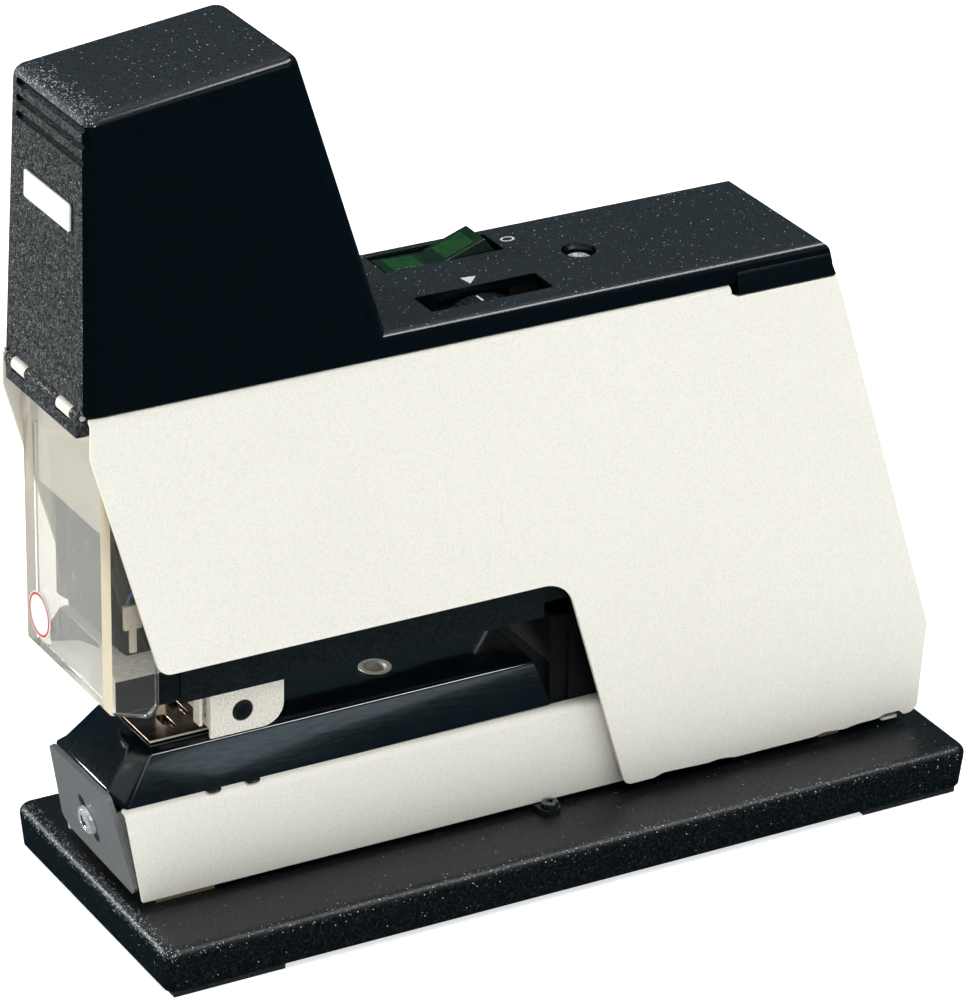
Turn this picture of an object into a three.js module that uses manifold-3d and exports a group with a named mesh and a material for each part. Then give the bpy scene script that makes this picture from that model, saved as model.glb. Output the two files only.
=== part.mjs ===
// Electric stapler: a solenoid stapler on a heavy base plate, with a lower arm, a body with a long
// paper throat, a tower over the stapling head, and a clear guard hinged in front of the head.
// Millimetres, +Z up. The front (stapling end) faces -Y, the operator's right-hand side is +X.
// Lengths along Y are counted from the middle of the base; the whole stapler is then moved back by
// frontShift, so that the origin is the middle of its footprint box, on the surface it stands on.

import * as THREE from "three";
import { ConvexGeometry } from "three/addons/geometries/ConvexGeometry.js";
import { mergeVertices } from "three/addons/utils/BufferGeometryUtils.js";
import Module from "manifold-3d";

const wasm = await Module();
wasm.setup();

// ---------------------------------------------------------------- driving dimensions

const gap = 0.3; // between pieces that meet
const sheet = 1.0; // cream side panels
const footHeight = 1.8;

const baseLength = 220;
const baseWidth = 82;
const baseTop = 13.3;
const baseLip = 0.8; // the rim stands out this far all round
const frontShift = 5.0; // the guard's hinge overhangs the base by twice this much

const bodyHalf = 24; // outer face of a side panel
const panelBottom = 15.9;
const panelTop = 142.9;
const panelFoldTop = 141.1; // where the panel's top edge starts to bend inward
const throatTop = 75.4;
const throatRear = 4.4;

const armHalf = 20.5; // outer face of a lower arm panel
const armTop = 39.5;
const coverTop = 50.4; // flat top of the lower arm's cover
const coverTopHalf = 14.2;
const coverEave = 39.9;
const coverEaveHalf = 18.2;

const deckTop = 148.8;
const deckHalf = 22.8;
const deckRear = 76.6;
const towerFoot = 143.2;
const towerFrontTop = 214.2;
const towerRearTop = 220.0;
const coverWall = 2.2;

const rockerAt = { x: -13.7, y: -11.9 };
const rockerOpening = { width: 10.3, length: 31.8 };
const rockerPivot = 144.0;
const wheelAt = { x: 11.3, y: -12.7, z: 132.5 };
const wheelRadius = 15;
const wheelSlot = { width: 9.2, length: 32.3 };
const deckScrewY = 19.4;

const guardHinge = { y: -119.0, z: 141.9 };
const guardFront = -115.8;
const guardThickness = 1.9;
const guardHalf = 20.5;
const guardTop = 137.0;
const guardWingTop = 124;
const guardWingRear = -101.7;

const frameOuter = 17.0; // inner frame plates
const frameThickness = 1.2;

const magazineHalf = 17.5;
const magazineBottom = 63.5;
const magazineTop = 78.3;
const magazineFront = -94.6;
const magazinePivot = { y: 18, z: 72 };
const noseFront = -111.3;

const driveLine = -89.9; // where the driver blade comes down
const driverWidth = 12.4;
const staplesFront = driveLine + 0.9;
const staplesLength = 49;
const railHalf = 5.5;
const railBottom = 65.2;
const railTop = 70.6;

const solenoid = { bottom: 139, top: 181, coilRadius: 14.5, boreRadius: 8.3, coreRadius: 7.5 };
const plungerCap = 209.5;
const stopCheek = 14.7; // outer face of the depth stop's cheeks
const stopFront = -85.6;
const stopRear = -66.4;

// ---------------------------------------------------------------- materials

function finish(color, roughness, metalness, opacity = 1) {
  return new THREE.MeshStandardMaterial({
    color,
    roughness,
    metalness,
    opacity,
    transparent: opacity < 1,
  });
}

const cream = finish(0xe9e6d8, 0.5, 0.1);
const blackPlastic = finish(0x1c1f24, 0.45, 0.0);
const glossBlack = finish(0x0b0d12, 0.12, 0.0);
const hammerBlack = finish(0x25282a, 0.45, 0.2);
const blackSteel = finish(0x24272b, 0.45, 0.5);
const satinBlack = finish(0x55544f, 0.4, 0.6);
const zinc = finish(0xc9ccd0, 0.3, 1.0);
const nickel = finish(0xd6cdb8, 0.35, 1.0);
const anvilNickel = finish(0xb9a88c, 0.25, 1.0);
const steel = finish(0x9a9da0, 0.35, 1.0);
const copper = finish(0xb56a38, 0.4, 0.8);
const rubber = finish(0x15171a, 0.85, 0.0);
const fibre = finish(0xb08d5a, 0.9, 0.0);
const clearAcrylic = finish(0xf4f2ec, 0.05, 0.0, 0.3);
const greenLens = finish(0x1d4a20, 0.12, 0.0, 0.85);
const whiteFilm = finish(0xf2f2ee, 0.5, 0.0);
const boardGreen = finish(0x2c5a38, 0.6, 0.0);
const capacitorBlue = finish(0x2b4f7a, 0.4, 0.1);

// ---------------------------------------------------------------- solids

// A closed three.js geometry as a solid that can be joined and cut.
function solid(geometry) {
  const bare = geometry.clone();
  bare.deleteAttribute("normal");
  bare.deleteAttribute("uv");
  const merged = mergeVertices(bare, 1e-4);
  const mesh = new wasm.Mesh({
    numProp: 3,
    vertProperties: merged.attributes.position.array,
    triVerts: new Uint32Array(merged.index.array),
  });
  return new wasm.Manifold(mesh);
}

// A solid as a flat-shaded geometry.
function geometryOf(body) {
  const mesh = body.getMesh();
  const shared = new THREE.BufferGeometry();
  shared.setAttribute("position", new THREE.BufferAttribute(mesh.vertProperties, 3));
  shared.setIndex(new THREE.BufferAttribute(mesh.triVerts, 1));
  const flat = shared.toNonIndexed();
  flat.computeVertexNormals();
  return flat;
}

function joined(...bodies) {
  return bodies.reduce((sum, body) => sum.add(body));
}

function cut(body, ...tools) {
  return tools.reduce((left, tool) => left.subtract(tool), body);
}

function box([x0, x1], [y0, y1], [z0, z1]) {
  const geometry = new THREE.BoxGeometry(x1 - x0, y1 - y0, z1 - z0);
  geometry.translate((x0 + x1) / 2, (y0 + y1) / 2, (z0 + z1) / 2);
  return solid(geometry);
}

// The same box on both sides of the middle plane, as one list.
function boxPair([x0, x1], y, z) {
  return [box([x0, x1], y, z), box([-x1, -x0], y, z)];
}

// A round bar along one axis, from a to b, through the point at.
function rod(axis, radius, a, b, at, sides = 24) {
  const geometry = new THREE.CylinderGeometry(radius, radius, b - a, sides);
  geometry.translate(0, (a + b) / 2, 0);
  if (axis === "x") geometry.rotateZ(-Math.PI / 2);
  if (axis === "z") geometry.rotateX(Math.PI / 2);
  geometry.translate(...at);
  return solid(geometry);
}

function tube(axis, outer, inner, a, b, at, sides = 24) {
  return cut(rod(axis, outer, a, b, at, sides), rod(axis, inner, a - 1, b + 1, at, sides));
}

// Corners [a, b, radius] as an outline whose corners are arcs of their radius.
function roundedOutline(corners, arcStep = Math.PI / 9) {
  const points = [];
  corners.forEach(([a, b, radius = 0], i) => {
    const corner = new THREE.Vector2(a, b);
    if (!radius) {
      points.push(corner);
      return;
    }
    const [previousA, previousB] = corners.at(i - 1);
    const [nextA, nextB] = corners[(i + 1) % corners.length];
    const back = new THREE.Vector2(previousA - a, previousB - b).normalize();
    const ahead = new THREE.Vector2(nextA - a, nextB - b).normalize();
    const half = back.angleTo(ahead) / 2;
    const middle = back.clone().add(ahead).normalize();
    const centre = corner.clone().addScaledVector(middle, radius / Math.sin(half));
    const start = corner.clone().addScaledVector(back, radius / Math.tan(half)).sub(centre);
    const end = corner.clone().addScaledVector(ahead, radius / Math.tan(half)).sub(centre);
    const turn = Math.PI - 2 * half;
    const side = Math.sign(start.cross(end));
    const steps = Math.max(1, Math.round(turn / arcStep));
    for (let k = 0; k <= steps; k++) {
      const spoke = start.clone().rotateAround(new THREE.Vector2(), (side * turn * k) / steps);
      points.push(centre.clone().add(spoke));
    }
  });
  return points;
}

// Extrudes an outline: "x" takes (y, z) outlines, "y" takes (x, z), "z" takes (x, y).
function prism(axis, corners, from, to, holes = []) {
  const shape = new THREE.Shape(roundedOutline(corners));
  for (const hole of holes) shape.holes.push(new THREE.Path(roundedOutline(hole)));
  const geometry = new THREE.ExtrudeGeometry(shape, { depth: to - from, bevelEnabled: false });
  const [right, up, out] = [new THREE.Vector3(), new THREE.Vector3(), new THREE.Vector3()];
  const basis = new THREE.Matrix4();
  if (axis === "x") basis.makeBasis(right.set(0, 1, 0), up.set(0, 0, 1), out.set(1, 0, 0));
  if (axis === "y") basis.makeBasis(right.set(1, 0, 0), up.set(0, 0, 1), out.set(0, -1, 0));
  geometry.applyMatrix4(basis);
  if (axis === "x") geometry.translate(from, 0, 0);
  if (axis === "y") geometry.translate(0, to, 0);
  if (axis === "z") geometry.translate(0, 0, from);
  return solid(geometry);
}

// Points of a rectangle with round corners at one height, or on a slope that heightAt gives.
function ring(halfWidth, front, rear, radius, heightAt) {
  const corners = [
    [-halfWidth, front, radius],
    [halfWidth, front, radius],
    [halfWidth, rear, radius],
    [-halfWidth, rear, radius],
  ];
  const height = typeof heightAt === "number" ? () => heightAt : heightAt;
  return roundedOutline(corners, Math.PI / 8).map((p) => new THREE.Vector3(p.x, p.y, height(p.y)));
}

function hullOf(...rings) {
  return solid(new ConvexGeometry(rings.flat()));
}

// Round wire along a curve.
function wire(curve, radius, steps, sides = 6) {
  const section = new THREE.Shape();
  section.absarc(0, 0, radius, 0, 2 * Math.PI);
  const outline = new THREE.Shape(section.getPoints(sides).slice(0, sides));
  return solid(new THREE.ExtrudeGeometry(outline, { steps, extrudePath: curve, bevelEnabled: false }));
}

// The centre line of an upright coil spring standing from bottom to top around x = 0.
class Helix extends THREE.Curve {
  constructor(radius, bottom, top, turns, y) {
    super();
    Object.assign(this, { radius, bottom, top, turns, y });
  }
  getPoint(t, target = new THREE.Vector3()) {
    const angle = 2 * Math.PI * this.turns * t;
    const height = this.bottom + (this.top - this.bottom) * t;
    return target.set(this.radius * Math.cos(angle), this.y + this.radius * Math.sin(angle), height);
  }
}

// ---------------------------------------------------------------- scene graph

const part = new THREE.Group();
const stapler = new THREE.Group();
stapler.position.y = frontShift;
part.add(stapler);

function add(name, body, material, parent = stapler) {
  const mesh = new THREE.Mesh(geometryOf(body), material);
  mesh.name = name;
  parent.add(mesh);
  return mesh;
}

// The same solid on both sides of the middle plane.
function addPair(name, body, material) {
  add(`${name}_right`, body, material);
  add(`${name}_left`, body, material).scale.x = -1;
}

// ---------------------------------------------------------------- base

function basePlate() {
  const [halfWidth, halfLength] = [baseWidth / 2, baseLength / 2];
  const at = (grow, z) => ring(halfWidth + grow, -halfLength - grow, halfLength + grow, 3.2, z);
  const plate = hullOf(
    at(0, footHeight),
    at(baseLip, baseTop - 2.6),
    at(baseLip - 0.5, baseTop - 1.2),
    at(-1.6, baseTop),
  );
  const holes = [-1, 1].map((side) => rod("z", 1.8, 6, 20, [23 * side, 1.5, 0], 16));
  return cut(plate, ...holes);
}

function addBase() {
  add("base_plate", basePlate(), hammerBlack);
  const footX = [25, 39.6];
  const rearEdges = { front: [-107.8, -78.8], rear: [81.6, 108.4] };
  for (const [end, range] of Object.entries(rearEdges)) {
    addPair(`rubber_foot_${end}`, box(footX, range, [0, footHeight - 0.02]), rubber);
  }
  const padZ = [baseTop + 0.05, 15.3];
  add("front_spacer_pad", box([-19, 19], [-102, -87], padZ), fibre);
  add("rear_spacer_pad", box([-21, 21], [58, 88], padZ), fibre);
  const head = rod("z", 2.1, 15.1, 16.4, [23, 1.5, 0]);
  const shank = rod("z", 1.5, 6.6, 15.1, [23, 1.5, 0], 16);
  addPair("base_screw", joined(head, shank), zinc);
}

// ---------------------------------------------------------------- lower arm

function armPanel() {
  const plate = prism(
    "x",
    [
      [-106.4, 15.0],
      [24, 15.0],
      [24, armTop - 2.2],
      [-110.2, armTop - 2.2],
    ],
    armHalf - sheet,
    armHalf,
  );
  const fold = prism(
    "y",
    [
      [armHalf, armTop - 2.2],
      [armHalf, armTop, 2.2],
      [17.2, armTop],
      [17.2, armTop - sheet],
      [armHalf - sheet, armTop - sheet, 1.2],
      [armHalf - sheet, armTop - 2.2],
    ],
    -110.2,
    24,
  );
  return joined(plate, fold);
}

// Hipped cover: flat top, steep sides, a sloping front and a bevel across each front corner.
function hippedCover(inset) {
  const corner = (x, y, z) => [new THREE.Vector3(x, y, z), new THREE.Vector3(-x, y, z)];
  const [front, rear] = [-102.5 + inset * 1.2, 1 + inset * 0];
  return hullOf(
    corner(7.4, front, coverTop - inset),
    corner(coverTopHalf - inset * 0.8, -101 + inset, coverTop - inset),
    corner(coverTopHalf - inset * 0.8, rear, coverTop - inset),
    corner(coverEaveHalf - inset, -109.3 + inset, coverEave),
    corner(coverEaveHalf - inset, rear + 3, coverEave),
    corner(14.4 - inset * 0.5, -112.4 + inset * 1.2, 43.0),
    corner(14.4 - inset * 0.5, -110.6 + inset * 1.2, coverEave),
  );
}

function armCover() {
  const wall = 1.2;
  const below = box([-30, 30], [-130, 30], [30, coverEave + 0.01]);
  const inner = joined(hippedCover(wall), box([-30, 30], [1, 6], [30, coverTop - wall]));
  const anvilOpening = box([-8.4, 8.4], [-97.4, -83.8], [40, 60]);
  const eyelet = rod("z", 3.3, 40, 60, [0, -34.4, 0]);
  return cut(hippedCover(0), inner, below, anvilOpening, eyelet);
}

function armFrame() {
  const hat = prism(
    "y",
    [
      [-13.5, 15.4],
      [-12.0, 15.4],
      [-12.0, 44.4],
      [12.0, 44.4],
      [12.0, 15.4],
      [13.5, 15.4],
      [13.5, 45.9],
      [-13.5, 45.9],
    ],
    -101,
    -2,
  );
  const tabs = boxPair([12, 26], [-3, 6], [13.4, 14.8]);
  const legs = boxPair([12, 13.5], [-3, -2], [13.4, 16]);
  const holes = [-1, 1].map((side) => rod("z", 1.8, 10, 20, [23 * side, 1.5, 0], 16));
  return cut(joined(hat, ...tabs, ...legs), ...holes);
}

// The end plate leans forward by leanDegrees; it is drawn flat and then turned.
const endPlateFoot = { y: -109.6, z: 17.6 };
const leanDegrees = 9.5;

function addEndPlate() {
  const outline = [
    [-16.5, 0, 1],
    [16.5, 0, 1],
    [19.2, 3.5, 1],
    [16.2, 25.4, 1.6],
    [-16.2, 26.4, 1.6],
    [-19.2, 3.5, 1],
  ];
  const slot = [
    [-6.6, 16.4, 1.8],
    [-3.6, 18.8, 1.8],
    [6.6, 6.4, 1.8],
    [3.6, 4.0, 1.8],
  ];
  const plate = prism("z", outline, 0, 1.2, [slot]);
  const flange = prism(
    "z",
    [
      [18.0, 3.6],
      [19.2, 3.6],
      [16.8, 21.6],
      [15.6, 21.4],
    ],
    -5,
    0.6,
  );
  const leftFlange = prism(
    "z",
    [
      [-18.0, 3.6],
      [-15.6, 21.4],
      [-16.8, 21.6],
      [-19.2, 3.6],
    ],
    -5,
    0.6,
  );
  const holder = new THREE.Group();
  holder.position.set(0, endPlateFoot.y, endPlateFoot.z);
  holder.rotation.x = THREE.MathUtils.degToRad(90 + leanDegrees);
  stapler.add(holder);
  add("end_plate", joined(plate, flange, leftFlange), satinBlack, holder);
  const head = rod("z", 3.0, 1.3, 2.6, [0, 11.4, 0]);
  const shank = rod("z", 1.4, -6, 1.5, [0, 11.4, 0], 16);
  add("end_plate_screw", joined(head, shank), zinc, holder);
}

function anvilPlate() {
  const plate = box([-10.2, 10.2], [-99.3, -83.2], [coverTop + gap, coverTop + 0.9]);
  const stem = box([-8, 8], [-97, -84.2], [46.3, coverTop + 0.5]);
  const pocketNear = box([-0.6, 6.8], [-92.8, -90.2], [coverTop - 0.3, 60]);
  const pocketFar = box([-6.8, 2.2], [-87.4, -84.8], [coverTop - 0.3, 60]);
  return cut(joined(plate, stem), pocketNear, pocketFar);
}

function addLowerArm() {
  addPair("arm_panel", armPanel(), cream);
  add("arm_cover", armCover(), glossBlack);
  add("arm_frame", armFrame(), blackSteel);
  addEndPlate();
  add("anvil_plate", anvilPlate(), anvilNickel);
  const collar = tube("z", 3.0, 2.3, 47.4, coverTop + 0.3, [0, -34.4, 0]);
  const flange = tube("z", 4.1, 2.3, coverTop + 0.05, coverTop + 0.6, [0, -34.4, 0]);
  add("cover_eyelet", joined(collar, flange), nickel);
}

// ---------------------------------------------------------------- body

// Side panel seen from the right, as (y, z) corners.
const sideOutline = [
  [-119.2, panelFoldTop],
  [-119.4, 133.6, 6],
  [-102.7, throatTop, 4],
  [throatRear, throatTop, 8.5],
  [22.1, panelBottom, 2.5],
  [106.4, panelBottom, 3],
  [108.2, 40.4, 9],
  [76.9, 140.2, 1.5],
  [49.1, 140.2],
  [47.4, panelFoldTop],
];

function sidePanel() {
  const plate = prism("x", sideOutline, bodyHalf - sheet, bodyHalf);
  const fold = prism(
    "y",
    [
      [bodyHalf, panelFoldTop],
      [bodyHalf, panelTop, 1.8],
      [22.2, panelTop],
      [22.2, panelTop - sheet],
      [bodyHalf - sheet, panelTop - sheet, 0.8],
      [bodyHalf - sheet, panelFoldTop],
    ],
    -119.2,
    47.4,
  );
  return joined(plate, fold);
}

const hingeTabs = [-12, 12]; // middles of the front plate's hinge tabs
const hingeTabHalf = 3.5;

function frontPlate() {
  const half = 18.1;
  const face = box([-half, half], [-113.2, -112.2], [110, 143.7]);
  const sides = boxPair([17.1, half], [-112.4, -104], [112, 143.7]);
  const tabs = hingeTabs.map((x) => {
    const span = [x - hingeTabHalf, x + hingeTabHalf];
    const strip = box(span, [guardHinge.y, -112.4], [142.9, 143.7]);
    const loop = rod("x", 1.8, ...span, [0, guardHinge.y, guardHinge.z]);
    return joined(strip, loop);
  });
  const bore = rod("x", 0.95, -30, 30, [0, guardHinge.y, guardHinge.z], 16);
  return cut(joined(face, ...sides, ...tabs), bore);
}

function innerFrame() {
  const outline = [
    [-109.8, 110],
    [-109.8, 80.5],
    [-108.0, 78.9],
    [9.5, 78.9],
    [9.5, 15.4],
    [96, 15.4],
    [96, 44],
    [70, 133],
    [24, 138],
    [12, 124],
    [-58, 124],
    [-66, 141],
    [-72, 182],
    [-106, 182],
    [-108, 112],
  ];
  const pivotHole = rod("x", 2.75, 0, 30, [0, magazinePivot.y, magazinePivot.z]);
  return cut(prism("x", outline, frameOuter - frameThickness, frameOuter), pivotHole);
}

function headHousing() {
  const outer = box([-12, 14.8], [-109.5, -96], [80, 114]);
  const hollow = box([-10, 12.8], [-107.5, -90], [70, 120]);
  return cut(outer, hollow);
}

function rearPanel() {
  const outline = [
    [104.2, 16.3],
    [105.8, 40.6],
    [74.6, 139.9],
    [72.5, 139.9],
    [103.7, 40.4],
    [102.2, 16.3],
  ];
  const glandHole = rod("y", 6.3, 90, 115, [0, 0, 28], 32);
  return cut(prism("x", outline, -22.6, 22.6), glandHole);
}

function cordGland() {
  const flange = tube("y", 8.6, 3.6, 105.9, 107.8, [0, 0, 28], 32);
  const collar = tube("y", 6.0, 3.6, 99.4, 106.2, [0, 0, 28], 32);
  return joined(flange, collar);
}

function addBody() {
  addPair("side_panel", sidePanel(), cream);
  add("front_plate", frontPlate(), cream);
  add("hinge_pin", rod("x", 0.75, -19, 19, [0, guardHinge.y, guardHinge.z], 16), zinc);
  addPair("inner_frame", innerFrame(), blackSteel);
  add("head_housing", headHousing(), blackPlastic);
  add("rear_panel", rearPanel(), blackPlastic);
  add("cord_gland", cordGland(), rubber);
  const lug = joined(
    box([frameOuter + 0.1, frameOuter + 1.2], [-109, -104.6], [86, 92]),
    box([frameOuter + 0.4, frameOuter + 1.2], [-107.6, -106.0], [80, 87]),
  );
  add("terminal_lug", lug, nickel);
}

// ---------------------------------------------------------------- top cover

// The tower narrows upward, and its top rises to the rear.
function tower(inset) {
  const roof = (drop) => (y) => {
    const share = (y + 116) / 52;
    return towerFrontTop + (towerRearTop - towerFrontTop) * share - inset - drop;
  };
  const radius = Math.max(5 - inset, 2);
  const foot = inset ? towerFoot - 1 : towerFoot;
  return hullOf(
    ring(22.5 - inset, -119.8 + inset, -42 - inset, radius, foot),
    ring(19.9 - inset, -117.6 + inset, -63.4 - inset, radius, roof(3)),
    ring(18.8 - inset, -116.4 + inset, -64.9 - inset, radius, roof(0.9)),
    ring(17.1 - inset, -114.8 + inset, -66.9 - inset, radius, roof(0)),
  );
}

// The low deck behind the tower; it comes down over the side panels behind their step.
function deck(inset) {
  const half = deckHalf - inset;
  const top = deckTop - inset;
  const foot = inset ? towerFoot - 5 : towerFoot;
  const long = hullOf(
    ring(half + 0.0, -70, deckRear - 2 - inset, 2, foot),
    ring(half, -70, 74.6 - inset, 2, top - 2.2),
    ring(half - 0.7, -70, 73 - inset, 2, top - 0.6),
    ring(half - 2.2, -70, 70.5 - inset, 2, top),
  );
  const skirtFoot = inset ? 139 : 140.5;
  const tail = hullOf(
    ring(bodyHalf - inset, 49.4 + inset, deckRear - inset, 2, skirtFoot),
    ring(deckHalf - inset + 0.2, 49.4 + inset, 74.8 - inset, 2, top - 2.4),
    ring(half - 0.7, 51 + inset, 73 - inset, 2, top - 0.6),
  );
  return joined(long, tail);
}

function topCover() {
  const shell = cut(joined(tower(0), deck(0)), joined(tower(coverWall), deck(coverWall)));
  const boss = joined(
    rod("z", 5.4, 143.4, deckTop - 1, [0, deckScrewY, 0]),
  );
  const rockerHole = box(
    [rockerAt.x - rockerOpening.width / 2, rockerAt.x + rockerOpening.width / 2],
    [rockerAt.y - rockerOpening.length / 2, rockerAt.y + rockerOpening.length / 2],
    [140, 160],
  );
  const wheelHole = box(
    [wheelAt.x - wheelSlot.width / 2, wheelAt.x + wheelSlot.width / 2],
    [wheelAt.y - wheelSlot.length / 2, wheelAt.y + wheelSlot.length / 2],
    [140, 160],
  );
  const recess = rod("z", 4.2, 145, 160, [0, deckScrewY, 0]);
  const screwHole = rod("z", 1.9, 140, 160, [0, deckScrewY, 0], 16);
  const hingeClearance = box([-19.6, 19.6], [-125, -105], [140, guardHinge.z + 2.2]);
  const grooves = [0, 1, 2].map((k) => {
    const z = 210.6 - 3.9 * k;
    return box([-15.5, 18.6], [-125, -117.1 - (210.6 - z) * 0.031], [z - 0.9, z + 0.9]);
  });
  return cut(joined(shell, boss), rockerHole, wheelHole, recess, screwHole, hingeClearance, ...grooves);
}

function rockerButton() {
  const profile = [
    [-15.1, 145.2],
    [-15.0, 148.3],
    [-1.4, 147.9],
    [10.9, 152.2],
    [14.6, 147.2],
    [14.2, 145.0],
    [9.6, 140.2],
    [5.2, 136.6],
    [0, 135.4],
    [-5.2, 136.6],
    [-9.6, 140.2],
  ].map(([y, z]) => [y + rockerAt.y, z]);
  return prism("x", profile, rockerAt.x - 4.7, rockerAt.x + 4.7);
}

function switchBody() {
  const z = [128, deckTop - coverWall - 1.0];
  const outer = box([rockerAt.x - 6, rockerAt.x + 6], [rockerAt.y - 16.9, rockerAt.y + 16.9], z);
  const room = { x: [rockerAt.x - 5.1, rockerAt.x + 5.1], y: [rockerAt.y - 15.8, rockerAt.y + 15.8] };
  return cut(outer, box(room.x, room.y, [130, 160]));
}

function thumbwheel() {
  const sides = 36;
  const disc = rod("x", wheelRadius, wheelAt.x - 3.5, wheelAt.x + 3.5, [0, wheelAt.y, wheelAt.z], sides);
  const shaft = rod("x", 3, -3, wheelAt.x, [0, wheelAt.y, wheelAt.z], 16);
  return joined(disc, shaft);
}

function potentiometer() {
  const can = rod("x", 8, -7, 6.6, [0, wheelAt.y, wheelAt.z]);
  const bore = rod("x", 3.3, -4, 8, [0, wheelAt.y, wheelAt.z], 16);
  return cut(can, bore);
}

function coverBracket() {
  const plate = box([-15.5, 15.5], [11, 28], [129.5, 131.5]);
  return cut(plate, rod("z", 1.9, 120, 140, [0, deckScrewY, 0], 16));
}

function addTop() {
  add("top_cover", topCover(), blackPlastic);
  const badge = new THREE.Group();
  badge.position.set(2.4, -118.75, 188.5);
  badge.rotation.x = THREE.MathUtils.degToRad(90 - 1.75);
  stapler.add(badge);
  const plate = prism(
    "z",
    [
      [-12, -3.3, 0.8],
      [12, -3.3, 0.8],
      [12, 3.3, 0.8],
      [-12, 3.3, 0.8],
    ],
    0,
    0.4,
  );
  add("name_badge", plate, whiteFilm, badge);
  add("switch_body", switchBody(), blackPlastic);
  add("rocker_button", rockerButton(), greenLens);
  add("thumbwheel", thumbwheel(), blackPlastic);
  add("force_potentiometer", potentiometer(), steel);
  add("cover_bracket", coverBracket(), zinc);
  const head = rod("z", 3.3, 145.2, 147.2, [0, deckScrewY, 0]);
  const shank = rod("z", 1.5, 127, 145.4, [0, deckScrewY, 0], 16);
  add("deck_screw", joined(head, shank), zinc);
}

// ---------------------------------------------------------------- guard

function guardCarrier() {
  const axis = [0, guardHinge.y, guardHinge.z];
  const bar = box([-19, 19], [-120.6, -117.8], [137.3, guardHinge.z]);
  const flange = box([-18.8, 18.8], [-118, guardFront + guardThickness], [137.3, 139.2]);
  const barrel = rod("x", 1.8, -19, 19, axis);
  const clearances = hingeTabs.map((x) => {
    const half = hingeTabHalf + gap;
    return joined(
      rod("x", 2.15, x - half, x + half, axis),
      box([x - half, x + half], [-122, -116.5], [guardHinge.z - 0.6, 146]),
    );
  });
  return cut(joined(bar, flange, barrel), rod("x", 0.95, -30, 30, axis, 16), ...clearances);
}

function guardShell() {
  const inner = guardFront + guardThickness;
  const front = box([-guardHalf, guardHalf], [guardFront, inner], [68.9, guardTop]);
  const wingOutline = [
    [guardFront, guardWingTop],
    [guardFront, 68.9, 1],
    [inner, 66.5, 1],
    [-104, 63.4, 2],
    [guardWingRear, 65.6, 1],
    [guardWingRear, guardWingTop],
  ];
  const right = prism("x", wingOutline, guardHalf - guardThickness, guardHalf);
  const left = prism("x", wingOutline, -guardHalf, -guardHalf + guardThickness);
  return joined(front, right, left);
}

function addGuard() {
  add("guard_carrier", guardCarrier(), blackPlastic);
  add("guard_shell", guardShell(), clearAcrylic);
  add("warning_disc", rod("y", 5.8, guardFront - 0.4, guardFront - 0.05, [-13, 0, 77.9], 32), whiteFilm);
}

// ---------------------------------------------------------------- stapling head

function magazineHousing() {
  const wall = 1.5;
  const outer = box([-magazineHalf, magazineHalf], [magazineFront, 2], [magazineBottom, magazineTop]);
  const inside = magazineHalf - wall;
  const hollow = box([-inside, inside], [magazineFront - 5, -0.6], [50, magazineTop - wall]);
  const lug = box([-15.2, 15.2], [1, 22], [66, 77.6]);
  const slotHalf = driverWidth / 2 + 0.8;
  const driverSlot = box([-slotHalf, slotHalf], [driveLine - 1.2, driveLine + 1.2], [70, 90]);
  const bore = rod("x", 2.7, -30, 30, [0, magazinePivot.y, magazinePivot.z]);
  return cut(joined(outer, lug), hollow, driverSlot, bore);
}

function magazineNose() {
  const profile = [
    [-17.5, 64.2],
    [17.5, 64.2],
    [17.5, 73],
    [12, 79.4],
    [-12, 79.4],
    [-17.5, 73],
  ];
  const block = prism("y", profile, noseFront, magazineFront - gap);
  const pocket = box([-9, 9], [-106, -80], [60, 76]);
  return cut(block, pocket);
}

function stapleStrip() {
  const [outerHalf, innerHalf] = [6.35, 5.8];
  const y = [staplesFront, staplesFront + staplesLength];
  const outer = box([-outerHalf, outerHalf], y, [railTop + 0.8 - 6, railTop + 0.8]);
  const inner = box([-innerHalf, innerHalf], [y[0] - 1, y[1] + 1], [50, railTop + gap]);
  return cut(outer, inner);
}

const pusherFront = staplesFront + staplesLength + gap;
const springRoll = { y: pusherFront + 11.4, z: 73.7, radius: 2.6, half: 5.6 };

// A saddle over the rail, with two ears behind it that carry the roll of its strip spring.
function staplePusher() {
  const saddle = box([-7.6, 7.6], [pusherFront, pusherFront + 8], [65.4, 76.2]);
  const ears = boxPair([6.2, 7.6], [pusherFront + 7, pusherFront + 14], [68, 76.2]);
  const spindle = rod("x", 0.9, -7, 7, [0, springRoll.y, springRoll.z], 12);
  const grooveHalf = railHalf + 0.4;
  const groove = { x: [-grooveHalf, grooveHalf], y: [pusherFront - 1, pusherFront + 9] };
  const railGroove = box(groove.x, groove.y, [50, railTop + 0.4]);
  return cut(joined(saddle, ...ears, spindle), railGroove);
}

function driverBlade() {
  const half = driverWidth / 2;
  const blade = box([-half, half], [driveLine - 0.5, driveLine + 0.5], [73, 102]);
  const hammer = box([-9, 9], [driveLine - 5, driveLine + 5], [100, 112]);
  return joined(blade, hammer);
}

function yoke() {
  const { bottom, top, boreRadius } = solenoid;
  const frame = cut(
    box([-15.2, 15.2], [driveLine - 21, driveLine + 21], [bottom, top]),
    box([-20, 20], [driveLine - 16.5, driveLine + 16.5], [bottom + 4.5, top - 4.5]),
  );
  return cut(frame, rod("z", boreRadius, bottom - 5, top + 5, [0, driveLine, 0], 32));
}

function plunger() {
  const { coreRadius } = solenoid;
  const centre = [0, driveLine, 0];
  return joined(
    rod("z", 3.5, 112.5, 152, centre),
    rod("z", coreRadius, 150, plungerCap - 1, centre, 32),
    rod("z", 11, plungerCap - 2, plungerCap, centre, 32),
  );
}

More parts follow.
